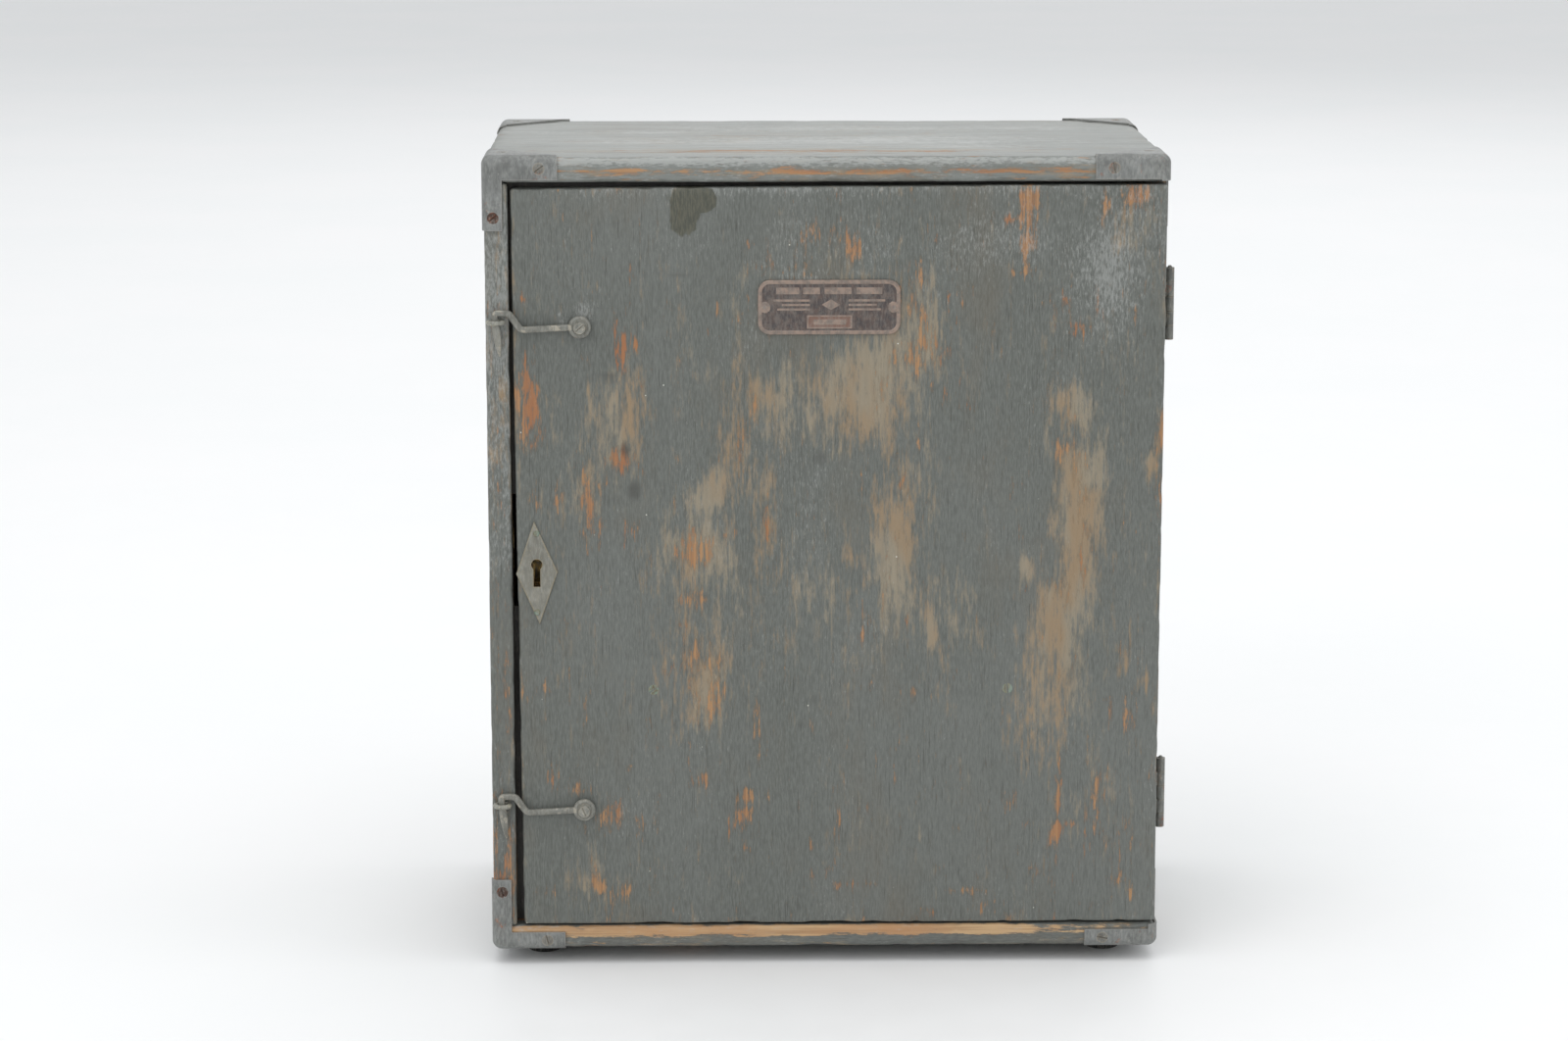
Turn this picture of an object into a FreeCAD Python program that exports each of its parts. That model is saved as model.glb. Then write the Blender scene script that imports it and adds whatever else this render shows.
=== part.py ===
# Carrying case for a surveying instrument: a wooden box with a side-hung door, two hook latches,
# a small lock, sheet-metal corners, rubber feet, and a sliding board inside that the instrument
# screws to. Millimetres. X right, Y to the back, Z up; the door is at the front (-Y).
# The origin is on the standing plane, in the middle of the outline.
import FreeCAD, Part
import Sketcher
import math
import os
from types import SimpleNamespace
from FreeCAD import Placement, Rotation, Vector

doc = FreeCAD.newDocument("InstrumentCase")
sheet = doc.addObject("Spreadsheet::Sheet", "Sizes")

drivingSizes = {
    # wooden case
    "case_width": 316, "case_depth": 178, "case_height": 378, "edge_round": 3.5,
    "front_setback": 3.5,           # the case sits this far back, so that fittings balance the outline
    "side_thickness": 11, "top_thickness": 12, "bottom_thickness": 11, "back_thickness": 10,
    # door, hung a little low on its lock side
    "door_thickness": 11, "door_edge_round": 1.2, "door_hinge_inset": 0.5,
    "top_gap_hinge_side": 1.0, "top_gap_lock_side": 2.6,
    "lock_gap_top": 1.2, "lock_gap_bottom": 3.4, "door_bottom_gap": 0.8,
    # stop strips behind the door
    "stop_width": 8, "stop_depth": 9, "stop_clearance": 0.7, "stop_notch_margin": 3,
    # butt hinges
    "hinge_length": 34, "hinge_gap": 0.8, "hinge_axis_out": 2.3, "upper_hinge_height": 316,
    "lower_hinge_height": 80.5, "leaf_thickness": 1.1, "leaf_reach": 9.6, "knuckle_radius": 2.15,
    "knuckle_gap": 0.16, "knuckle_side_clearance": 0.3, "pin_radius": 1.2, "pin_clearance": 0.05,
    "pin_tip": 0.9, "leaf_screw_spacing": 20, "leaf_screw_inset": 5.2, "leaf_axis_gap": 0.6,
    # sheet-metal corners
    "corner_sheet": 1.0, "corner_arm": 34, "corner_arm_height": 10.6, "corner_arm_width": 8.5,
    "corner_foot_height": 8.0, "corner_tongue": 9, "tongue_clearance": 0.6, "tongue_taper_start": 18.7,
    "corner_arm_screw": 25.5, "corner_leg_screw": 28, "corner_top_screw_x": 8, "corner_top_screw_y": 14.5,
    "corner_side_screw": 9, "corner_tongue_screw": 17, "corner_side_screw_drop": 18,
    # wood screws: countersunk and round-headed
    "screw_head_radius": 2.7, "screw_head_depth": 1.5, "screw_shank_radius": 1.25,
    "screw_length": 9.2, "screw_point": 2.6, "slot_width": 0.7, "slot_depth": 0.55,
    "round_head_radius": 3.6, "round_head_height": 2.4,
    # small pins
    "tack_head_radius": 1.5, "tack_head_height": 0.6, "tack_shank_radius": 0.6, "tack_length": 6,
    # hooks and screw eyes
    "hook_reach": 38.8, "hook_rod_radius": 1.5, "hook_tip_radius": 0.85, "hook_loop_radius": 5.3,
    "hook_standoff": 1.5, "hook_rise": 6.6, "hook_bore_clearance": 0.08,
    "hook_screw_radius": 1.9, "hook_screw_depth": 8.5, "hook_inset": 43.7, "hook_play": 0.15,
    "hook_bend": 2.4, "hook_bar_dip": 1.2, "hook_neck": 27.2, "hook_shoulder": 32.6, "hook_crest_over": 0.6,
    "hook_tip_lean": 1.9, "hook_tip_start": 4.6, "hook_tip_length": 15.6,
    "upper_hook_height": 307.6, "lower_hook_height": 76.9,
    "eye_wire": 1.1, "eye_ring": 3.35, "eye_rise": 2.3, "eye_depth": 14,
    # lock on the back of the door
    "keyhole_inset": 11.5, "keyhole_height": 195.1, "keyhole_radius": 2.6, "keyhole_drop": 10.6,
    "keyhole_slot": 3.2, "lock_width": 22.5, "lock_plate_height": 48, "lock_plate_thickness": 1.2,
    "lock_box_height": 34, "lock_box_depth": 8.4, "lock_wall": 1.1, "lock_inset": 0.6,
    "bolt_height": 8, "bolt_thickness": 3.4, "bolt_length": 17, "bolt_rise": 9,
    "bolt_clearance": 0.25, "key_post_radius": 1.2, "key_post_length": 6.4,
    "strike_height": 26, "strike_width": 11, "strike_thickness": 1.2, "strike_pocket": 7,
    "strike_screw_inset": 3.6, "key_bore_over": 0.2, "screw_end_wood": 2,
    # plate and lozenge on the door
    "lozenge_height": 49.4, "lozenge_width": 19.4, "lozenge_thickness": 0.9, "lozenge_tilt": 2.6,
    "lozenge_drop": 4, "lozenge_pin_spacing": 37.6,
    "plate_width": 66, "plate_height": 25.4, "plate_thickness": 1.3, "plate_corner": 5.6,
    "plate_rim": 1.7, "plate_recess": 0.5, "plate_offset": 1.2, "plate_height_at": 316.3,
    "plate_pin_spacing": 59.6,
    # padded block that two brass screws hold inside the door
    "block_length": 206, "block_height": 22, "block_depth": 15, "felt_thickness": 4,
    "block_offset": 2.3, "block_height_at": 134.5, "block_screw_spacing": 167,
    "block_screw_head_radius": 2.4, "block_screw_length": 20,
    # sliding board, its rails and the boss that the instrument screws to
    "rail_width": 17, "rail_lip": 7, "rail_lip_thickness": 4.5, "rail_inset": 9,
    "sled_thickness": 12, "sled_tongue": 7, "sled_clearance": 0.5, "sled_front_inset": 9,
    "sled_length": 138, "rail_extra": 4, "plinth_radius": 62, "plinth_height": 13, "plinth_chamfer": 2,
    "boss_radius": 44.45, "boss_height": 14, "boss_bore": 30, "boss_flange_radius": 54,
    "boss_flange_thickness": 3,
    "boss_screw_circle": 49, "boss_setback": 66,
    # feet
    "foot_height": 8, "foot_radius": 8.8, "foot_sole_radius": 7.8, "foot_inset": 23, "foot_setback": 27,
    "foot_recess_radius": 4.4, "foot_recess_depth": 4.2, "foot_hole_clearance": 0.1,
}

for row, (alias, number) in enumerate(drivingSizes.items(), start=1):
    sheet.set("A%d" % row, alias)
    sheet.set("B%d" % row, str(number))
    sheet.setAlias("B%d" % row, alias)
doc.recompute()


class Size:
    """A number with the sheet expression it comes from, so that both are written once."""

    def __init__(self, number, rule):
        self.number = float(number)
        self.rule = rule

    def __float__(self):
        return self.number

    def __add__(self, other):
        return Size(self.number + float(other), "(%s + %s)" % (self.rule, ruleOf(other)))

    def __sub__(self, other):
        return Size(self.number - float(other), "(%s - %s)" % (self.rule, ruleOf(other)))

    def __rsub__(self, other):
        return Size(float(other) - self.number, "(%s - %s)" % (ruleOf(other), self.rule))

    def __mul__(self, other):
        return Size(self.number * float(other), "(%s * %s)" % (self.rule, ruleOf(other)))

    def __truediv__(self, other):
        return Size(self.number / float(other), "(%s / %s)" % (self.rule, ruleOf(other)))

    def __neg__(self):
        return Size(-self.number, "(0 - %s)" % self.rule)

    __radd__ = __add__
    __rmul__ = __mul__


def ruleOf(value):
    return value.rule if isinstance(value, Size) else repr(float(value))


s = SimpleNamespace(**{a: Size(sheet.get(a), "Sizes." + a) for a in drivingSizes})

# planes that several pieces share
left = -s.case_width / 2
right = s.case_width / 2
front = s.front_setback - s.case_depth / 2
back = s.front_setback + s.case_depth / 2
base = s.foot_height
roof = s.foot_height + s.case_height
floorTop = base + s.bottom_thickness
ceiling = roof - s.top_thickness
innerLeft = left + s.side_thickness
innerRight = right - s.side_thickness
doorBack = front + s.door_thickness
sideFront = doorBack + s.hinge_gap
innerBack = back - s.back_thickness
hingeX = right + s.hinge_axis_out
hingeY = doorBack + s.hinge_gap / 2

nodes = {}          # node name -> document object that is written to parts/


def node(item, name):
    item.Label = name
    nodes[name] = item
    return item


# building blocks
def bindPlace(item, corner):
    for axis, value in zip("xyz", corner):
        item.setExpression(".Placement.Base." + axis, ruleOf(value))


def box(name, size, corner):
    item = doc.addObject("Part::Box", name)
    for side, value in zip(("Length", "Width", "Height"), size):
        item.setExpression(side, ruleOf(value))
    bindPlace(item, corner)
    return item


turns = {"+Z": Rotation(), "-Z": Rotation(Vector(1, 0, 0), 180),
         "+Y": Rotation(Vector(1, 0, 0), -90), "-Y": Rotation(Vector(1, 0, 0), 90),
         "+X": Rotation(Vector(0, 1, 0), 90), "-X": Rotation(Vector(0, 1, 0), -90)}


def cylinder(name, radius, length, foot, way="+Z"):
    item = doc.addObject("Part::Cylinder", name)
    item.setExpression("Radius", ruleOf(radius))
    item.setExpression("Height", ruleOf(length))
    item.Placement.Rotation = turns[way]
    bindPlace(item, foot)
    return item


def cone(name, radius, tip, length, foot, way="+Z"):
    item = doc.addObject("Part::Cone", name)
    item.setExpression("Radius1", ruleOf(radius))
    item.setExpression("Radius2", ruleOf(tip))
    item.setExpression("Height", ruleOf(length))
    item.Placement.Rotation = turns[way]
    bindPlace(item, foot)
    return item


def fuse(name, items):
    item = doc.addObject("Part::MultiFuse", name)
    item.Shapes = items
    return item


def cut(name, whole, tools):
    item = doc.addObject("Part::Cut", name)
    item.Base = whole
    item.Tool = tools[0] if len(tools) == 1 else fuse(name + "_tools", tools)
    return item


def common(name, first, second):
    item = doc.addObject("Part::Common", name)
    item.Base = first
    item.Tool = second
    return item


def plane(body, role):
    return [f for f in body.Origin.OriginFeatures if f.Role == role][0]


def outline(body, role, points):
    """A closed sketch of straight lines; every corner is tied to the sheet."""
    sketch = body.newObject("Sketcher::SketchObject", body.Name + "_outline")
    sketch.AttachmentSupport = (plane(body, role), "")
    sketch.MapMode = "FlatFace"
    spots = [Vector(float(x), float(y), 0) for x, y in points]
    count = len(spots)
    for i in range(count):
        sketch.addGeometry(Part.LineSegment(spots[i], spots[(i + 1) % count]))
    for i in range(count):
        sketch.addConstraint(Sketcher.Constraint("Coincident", i, 2, (i + 1) % count, 1))
    for i, (x, y) in enumerate(points):
        for kind, axis, value in (("DistanceX", -2, x), ("DistanceY", -1, y)):
            if float(value) == 0:
                sketch.addConstraint(Sketcher.Constraint("PointOnObject", i, 1, axis))
                continue
            number = sketch.addConstraint(Sketcher.Constraint(kind, -1, 1, i, 1, float(value)))
            if isinstance(value, Size):
                sketch.setExpression("Constraints[%d]" % number, value.rule)
    return sketch


def padded(name, role, points, length):
    body = doc.addObject("PartDesign::Body", name)
    pad = body.newObject("PartDesign::Pad", name + "_pad")
    pad.Profile = outline(body, role, points)
    pad.setExpression("Length", ruleOf(length))
    doc.recompute()
    return body


def turned(name, points):
    """A body of revolution about Z from a half outline of (radius, height) points."""
    body = doc.addObject("PartDesign::Body", name)
    sketch = outline(body, "XZ_Plane", points)
    spin = body.newObject("PartDesign::Revolution", name + "_turned")
    spin.Profile = sketch
    spin.ReferenceAxis = (sketch, ["V_Axis"])
    spin.Angle = 360
    doc.recompute()
    return body


def dressed(body, kind, edgeTest, size):
    """Fillet or chamfer on the edges of the body's tip that pass the test."""
    tip = body.Tip
    names = ["Edge%d" % i for i, e in enumerate(tip.Shape.Edges, start=1) if edgeTest(e)]
    feature = body.newObject("PartDesign::" + kind, body.Name + "_" + kind.lower())
    feature.Base = (tip, names)
    feature.setExpression("Radius" if kind == "Fillet" else "Size", ruleOf(size))
    doc.recompute()
    return body


def along(edge, axis):
    """True for a straight edge parallel to the axis."""
    if edge.Curve.TypeId != "Part::GeomLine":
        return False
    return abs(abs(edge.tangentAt(edge.FirstParameter).dot(axis)) - 1) < 1e-6


def vec(*values):
    return Vector(*[float(v) for v in values])


def shaped(name, shape):
    item = doc.addObject("Part::Feature", name)
    item.Shape = shape
    return item


# fasteners
def fastener(name, headRadius, shankRadius, length, rise=0, under=0):
    """A countersunk screw (rise 0) or a headed one, standing head up at the origin."""
    if float(rise) == 0:
        points = [(0, 0), (headRadius, 0), (shankRadius, -under),
                  (shankRadius, s.screw_point - length), (0, -length)]
    else:
        points = [(0, rise), (headRadius * 0.72, rise), (headRadius, 0), (shankRadius, 0),
                  (shankRadius, s.screw_point - length), (0, -length)]
    return turned(name, points)


def slotted(name, form, radius, rise):
    slot = box(name + "_slot", (radius * 2.4, s.slot_width, s.slot_depth * 2),
               (-radius * 1.2, -s.slot_width / 2, rise - s.slot_depth))
    return cut(name, form, [slot])


def placed(shape, spot, way, twist):
    copy = shape.copy()
    spin = turns[way].multiply(Rotation(Vector(0, 0, 1), twist))
    copy.Placement = Placement(vec(*spot), spin)
    return copy


bores = {}          # fastener set -> solid forms that bore the pieces they pass through
firstTwist = 37     # degrees that the first screw slot of a set is turned, and each next one more
nextTwist = 61


def borings(name, form, spots):
    doc.recompute()
    forms = [placed(form.Shape, spot, way, 0) for spot, way in spots]
    bores[name] = shaped(name + "_forms", Part.makeCompound(forms))


def fastenerSet(name, piece, form, spots):
    """One node for a set of equal fasteners, each slot turned its own way."""
    borings(name, form, spots)
    copies = [placed(piece.Shape, spot, way, firstTwist + nextTwist * i)
              for i, (spot, way) in enumerate(spots)]
    return node(shaped(name, Part.makeCompound(copies)), name)


screwForm = fastener("wood_screw_form", s.screw_head_radius, s.screw_shank_radius,
                     s.screw_length, under=s.screw_head_depth)
screw = slotted("wood_screw", screwForm, s.screw_head_radius, 0)
hookScrewForm = fastener("hook_screw_form", s.round_head_radius, s.hook_screw_radius,
                         s.hook_screw_depth + s.hook_standoff + 2 * s.hook_rod_radius + s.key_bore_over,
                         rise=s.round_head_height)
hookScrew = slotted("hook_screw", hookScrewForm, s.round_head_radius, s.round_head_height)
tackForm = fastener("tack_form", s.tack_head_radius, s.tack_shank_radius, s.tack_length,
                    rise=s.tack_head_height)
brassForm = fastener("brass_screw_form", s.block_screw_head_radius, s.screw_shank_radius,
                     s.block_screw_length, under=s.screw_head_depth)
brassScrew = slotted("brass_screw", brassForm, s.block_screw_head_radius, 0)

# wooden case
def roundedBlock(name, grow):
    """The outline of the case, all edges rounded, grown on every side."""
    half = s.case_width / 2 + grow
    near = front - grow
    far = back + grow
    block = padded(name, "XY_Plane", [(-half, near), (half, near), (half, far), (-half, far)],
                   s.case_height + grow * 2)
    bindPlace(block, (0, 0, base - grow))
    return dressed(block, "Fillet", lambda e: True, s.edge_round + grow)


caseBlock = roundedBlock("case_block", s.corner_sheet * 0)
sheetBlock = roundedBlock("sheet_block", s.corner_sheet)
doc.recompute()

# the eight sheet-metal corners and where their screws sit
cornerSigns = {"front_upper_left": (-1, -1, 1), "front_upper_right": (1, -1, 1),
               "front_lower_left": (-1, -1, -1), "front_lower_right": (1, -1, -1),
               "rear_upper_left": (-1, 1, 1), "rear_upper_right": (1, 1, 1),
               "rear_lower_left": (-1, 1, -1), "rear_lower_right": (1, 1, -1)}


def inward(signs, a, b, c):
    """A point a, b and c inward from a corner of the case along X, Y and Z."""
    sx, sy, sz = signs
    x = right - a if sx > 0 else left + a
    y = back - b if sy > 0 else front + b
    z = roof - c if sz > 0 else base + c
    return vec(x, y, z)


def prism(corners, depth):
    face = Part.Face(Part.makePolygon(corners + corners[:1]))
    return face.extrude(depth)


def cornerMask(signs):
    sx, sy, sz = signs
    t = float(s.corner_sheet) * 1.5
    deep = float(s.edge_round) + t
    arm = float(s.corner_arm)
    height = float(s.corner_arm_height if sz > 0 else s.corner_foot_height)
    width = float(s.corner_arm_width)
    doorSide = sx > 0 and sy < 0
    flat = [(-t, -t), (arm, -t), (arm, height), (width, height), (width, arm), (-t, arm)]
    if doorSide:
        flat = [(-t, -t), (arm, -t), (arm, height), (-t, height)]
    faceOfFront = prism([inward(signs, a, -t, c) for a, c in flat], Vector(0, -sy * deep, 0))
    side = [(-t, -t), (arm, -t), (arm, 0), (0, arm), (-t, arm)]
    faceOfTop = prism([inward(signs, a, b, -t) for a, b in side], Vector(0, 0, -sz * deep))
    if doorSide:
        clear = float(s.door_thickness + s.hinge_gap + s.tongue_clearance)
        board = float(s.top_thickness if sz > 0 else s.bottom_thickness) - float(s.tongue_clearance)
        tongue = clear + float(s.corner_tongue)
        side = [(-t, -t), (arm, -t), (arm, 0), (tongue, float(s.tongue_taper_start)), (tongue, arm),
                (clear, arm), (clear, board), (-t, board)]
    faceOfSide = prism([inward(signs, -t, b, c) for b, c in side], Vector(-sx * deep, 0, 0))
    return faceOfFront.fuse([faceOfTop, faceOfSide])


def outwardWay(axis, sign):
    return ("+" if sign > 0 else "-") + axis


def cornerScrews(signs):
    """Screw spots on a corner's three faces: (place on the sheet's outside, way it faces)."""
    sx, sy, sz = signs
    out = -s.corner_sheet
    doorSide = sx > 0 and sy < 0
    armDrop = s.corner_arm_height / 2 if sz > 0 else s.corner_foot_height / 2
    sideInset = s.corner_tongue_screw if doorSide else s.corner_side_screw
    spots = [(inward(signs, s.corner_arm_screw, out, armDrop), outwardWay("Y", sy)),
             (inward(signs, s.corner_top_screw_x, s.corner_top_screw_y, out), outwardWay("Z", sz)),
             (inward(signs, out, sideInset, s.corner_side_screw_drop), outwardWay("X", sx))]
    if not doorSide:
        spots.append((inward(signs, s.corner_arm_width / 2, out, s.corner_leg_screw), outwardWay("Y", sy)))
    return spots


allCornerScrews = [spot for signs in cornerSigns.values() for spot in cornerScrews(signs)]
fastenerSet("corner_screws", screw, screwForm, allCornerScrews)
seamTurn = 17           # keeps a hole's seam off the sheet's own edges
for corner, signs in cornerSigns.items():
    skin = sheetBlock.Shape.common(cornerMask(signs)).cut(caseBlock.Shape)
    for spot, way in cornerScrews(signs):
        skin = skin.cut(placed(screwForm.Shape, spot, way, seamTurn))
    name = "corner_" + corner
    node(shaped(name, skin), name)

# hinges
hingeHeights = {"upper": s.upper_hinge_height, "lower": s.lower_hinge_height}
seats = []          # what the hinge leaves take out of the wood


def leaf(name, height, ownKnuckles, plateY, boreRadius, screwSet):
    """A hinge leaf: plate, its share of the five knuckles, a bore for the pin."""
    low = height - s.hinge_length / 2
    step = s.hinge_length / 5
    wide = s.leaf_reach + s.hinge_axis_out
    plate = box(name + "_plate", (wide - s.leaf_axis_gap, s.leaf_thickness, s.hinge_length),
                (right - s.leaf_reach, plateY, low))
    seats.append(box(name + "_seat", (wide, s.leaf_thickness, s.hinge_length),
                     (right - s.leaf_reach, plateY, low)))
    rings = [cylinder(name + "_knuckle%d" % i, s.knuckle_radius, step - s.knuckle_gap,
                      (hingeX, hingeY, low + step * i + s.knuckle_gap / 2)) for i in ownKnuckles]
    notches = [box(name + "_notch%d" % i, (s.leaf_reach, s.leaf_thickness * 6, step + s.knuckle_gap),
                   (right - s.knuckle_side_clearance, plateY - s.leaf_thickness * 3,
                    low + step * i - s.knuckle_gap / 2)) for i in range(5) if i not in ownKnuckles]
    body = fuse(name + "_body", [cut(name + "_notched", plate, notches)] + rings)
    bore = cylinder(name + "_bore", boreRadius, s.hinge_length * 1.2, (hingeX, hingeY, low - step / 2))
    return node(cut(name, body, [bore, bores[screwSet]]), name)


def leafScrews(wayY, y):
    spread = s.leaf_screw_spacing / 2
    x = right - s.leaf_screw_inset
    return [(vec(x, y, height + sign * spread), wayY)
            for height in hingeHeights.values() for sign in (-1, 1)]


fastenerSet("hinge_case_screws", screw, screwForm, leafScrews("-Y", sideFront))
fastenerSet("hinge_door_screws", screw, screwForm, leafScrews("+Y", doorBack))
for place, height in hingeHeights.items():
    leaf(place + "_hinge_case_leaf", height, (0, 2, 4), sideFront, s.pin_radius, "hinge_case_screws")
    leaf(place + "_hinge_door_leaf", height, (1, 3), doorBack - s.leaf_thickness,
         s.pin_radius + s.pin_clearance, "hinge_door_screws")
    shank = cylinder(place + "_pin_shank", s.pin_radius, s.hinge_length,
                     (hingeX, hingeY, height - s.hinge_length / 2))
    tip = cone(place + "_pin_tip", s.pin_radius, s.pin_radius / 2, s.pin_tip,
               (hingeX, hingeY, height + s.hinge_length / 2))
    node(fuse(place + "_hinge_pin", [shank, tip]), place + "_hinge_pin")

# hooks and screw eyes
hookHeights = {"upper": s.upper_hook_height, "lower": s.lower_hook_height}
hookX = left + s.hook_inset
hookY = front - s.hook_standoff - s.hook_rod_radius


def roundedPath(points, radius):
    """A wire of straight runs joined by tangent arcs."""
    edges = []
    start = points[0]
    for before, corner, after in zip(points, points[1:], points[2:]):
        inWay = (corner - before).normalize()
        outWay = (after - corner).normalize()
        half = inWay.getAngle(outWay) / 2
        pull = radius * math.tan(half)
        enter = corner - inWay * pull
        leave = corner + outWay * pull
        middleWay = (outWay - inWay).normalize()
        middle = corner + middleWay * (radius / math.cos(half) - radius)
        edges.append(Part.LineSegment(start, enter).toShape())
        edges.append(Part.Arc(enter, middle, leave).toShape())
        start = leave
    edges.append(Part.LineSegment(start, points[-1]).toShape())
    return Part.Wire(edges)


def rod(wire, radius):
    first = wire.Edges[0]
    ring = Part.Wire(Part.makeCircle(float(radius), first.valueAt(first.FirstParameter),
                                     first.tangentAt(first.FirstParameter)))
    return wire.makePipeShell([ring], True, False)


def hookShape():
    """Hook in its own frame: the pivot at 0, the bar to -X, the tip hanging down into the eye."""
    reach = float(s.hook_reach)
    rise = float(s.hook_rise)
    radius = float(s.hook_rod_radius)
    loop = float(s.hook_loop_radius)
    crest = Vector(-reach - float(s.hook_crest_over), 0, rise)
    tipWay = Vector(float(s.hook_tip_lean), 0, -float(s.hook_tip_length)).normalize()
    bar = [Vector(-loop + radius, 0, 0), Vector(-float(s.hook_neck), 0, -float(s.hook_bar_dip)),
           Vector(-float(s.hook_shoulder), 0, rise), crest, crest + tipWay * float(s.hook_tip_start)]
    stem = rod(roundedPath(bar, float(s.hook_bend)), radius)
    tip = Part.makeCone(radius, float(s.hook_tip_radius), float(s.hook_tip_length), bar[-1], tipWay)
    ring = Part.makeCylinder(loop, 2 * radius, Vector(0, radius, 0), Vector(0, -1, 0))
    bore = Part.makeCylinder(float(s.hook_screw_radius + s.hook_bore_clearance), 4 * radius,
                             Vector(0, 2 * radius, 0), Vector(0, -1, 0))
    return stem.fuse([tip, ring]).cut(bore)


hookPiece = hookShape()
hookScrewY = hookY - s.hook_rod_radius - s.hook_play
hookScrewTwists = {"upper": 40, "lower": 115}
borings("hook_screws", hookScrewForm,
        [(vec(hookX, hookScrewY, height), "-Y") for height in hookHeights.values()])
for place, height in hookHeights.items():
    hook = shaped(place + "_hook", hookPiece)
    hook.Placement = Placement(vec(hookX, hookY, height), Rotation())
    node(hook, place + "_hook")
    spot = vec(hookX, hookScrewY, height)
    piece = shaped(place + "_hook_screw", placed(hookScrew.Shape, spot, "-Y", hookScrewTwists[place]))
    node(piece, place + "_hook_screw")
    washer = cylinder(place + "_washer_disc", s.hook_screw_radius * 2, s.hook_standoff - s.hook_play,
                      (hookX, front, height), "-Y")
    node(cut(place + "_hook_washer", washer, [bores["hook_screws"]]), place + "_hook_washer")
    # screw eye: a horizontal wire ring with a threaded shank in the left board's edge
    ringX = hookX - s.hook_reach + s.hook_play
    ringZ = height + s.eye_rise
    ring = doc.addObject("Part::Torus", place + "_eye_ring")
    ring.setExpression("Radius1", ruleOf(s.eye_ring))
    ring.setExpression("Radius2", ruleOf(s.eye_wire))
    bindPlace(ring, (ringX, hookY, ringZ))
    stalk = cylinder(place + "_eye_stalk", s.eye_wire, s.eye_depth,
                     (ringX, hookY + s.eye_ring, ringZ), "+Y")
    node(fuse(place + "_screw_eye", [ring, stalk]), place + "_screw_eye")

# lock
keyX = innerLeft + s.keyhole_inset
keyZ = s.keyhole_height
doorEdgeAtLock = innerLeft + (s.lock_gap_top + s.lock_gap_bottom) / 2
lockLeft = doorEdgeAtLock + s.lock_inset
lockLow = keyZ - s.lock_plate_height / 2 + s.bolt_rise / 2
boxLow = lockLow + (s.lock_plate_height - s.lock_box_height) / 2
plateFar = doorBack + s.lock_plate_thickness
boltLow = keyZ + s.bolt_rise - s.bolt_height / 2
boltY = plateFar + s.bolt_clearance * 2
keyBoreFar = plateFar + s.key_bore_over
keyRound = cylinder("key_round", s.keyhole_radius, s.door_thickness * 2, (keyX, keyBoreFar, keyZ), "-Y")
keySlot = box("key_slot", (s.keyhole_slot, s.door_thickness * 2, s.keyhole_drop),
              (keyX - s.keyhole_slot / 2, keyBoreFar - s.door_thickness * 2, keyZ - s.keyhole_drop))
keyhole = fuse("keyhole", [keyRound, keySlot])

lockPlate = box("lock_plate_blank", (s.lock_width, s.lock_plate_thickness, s.lock_plate_height),
                (lockLeft, doorBack, lockLow))
lockScrewX = lockLeft + s.lock_width / 2
lockScrewEdge = (s.lock_plate_height - s.lock_box_height) / 4
lockScrewForm = fastener("lock_screw_form", s.screw_head_radius, s.screw_shank_radius,
                         s.door_thickness - s.screw_end_wood, under=s.screw_head_depth)
lockScrew = slotted("lock_screw", lockScrewForm, s.screw_head_radius, 0)
fastenerSet("lock_screws", lockScrew, lockScrewForm,
            [(vec(lockScrewX, plateFar, lockLow + lockScrewEdge), "+Y"),
             (vec(lockScrewX, plateFar, lockLow + s.lock_plate_height - lockScrewEdge), "+Y")])
node(cut("lock_plate", lockPlate, [keyhole, bores["lock_screws"]]), "lock_plate")
lockOuter = box("lock_outer", (s.lock_width, s.lock_box_depth, s.lock_box_height),
                (lockLeft, plateFar, boxLow))
lockInner = box("lock_inner", (s.lock_width - s.lock_wall * 2, s.lock_box_depth - s.lock_wall,
                               s.lock_box_height - s.lock_wall * 2),
                (lockLeft + s.lock_wall, plateFar, boxLow + s.lock_wall))
boltWay = box("bolt_way", (s.lock_wall * 3, s.bolt_thickness + s.bolt_clearance * 2,
                           s.bolt_height + s.bolt_clearance * 2),
              (lockLeft - s.lock_wall, boltY - s.bolt_clearance, boltLow - s.bolt_clearance))
node(cut("lock_case", lockOuter, [lockInner, boltWay]), "lock_case")
node(cylinder("key_post", s.key_post_radius, s.key_post_length,
              (keyX, plateFar + s.lock_box_depth - s.lock_wall, keyZ), "-Y"), "key_post")
boltBar = box("bolt_bar", (s.bolt_length, s.bolt_thickness, s.bolt_height),
              (lockLeft + s.key_bore_over, boltY, boltLow))
talon = cylinder("bolt_talon", s.keyhole_slot, s.bolt_thickness * 2,
                 (keyX, boltY - s.bolt_thickness / 2, boltLow), "+Y")
node(cut("lock_bolt", boltBar, [talon]), "lock_bolt")

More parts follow.
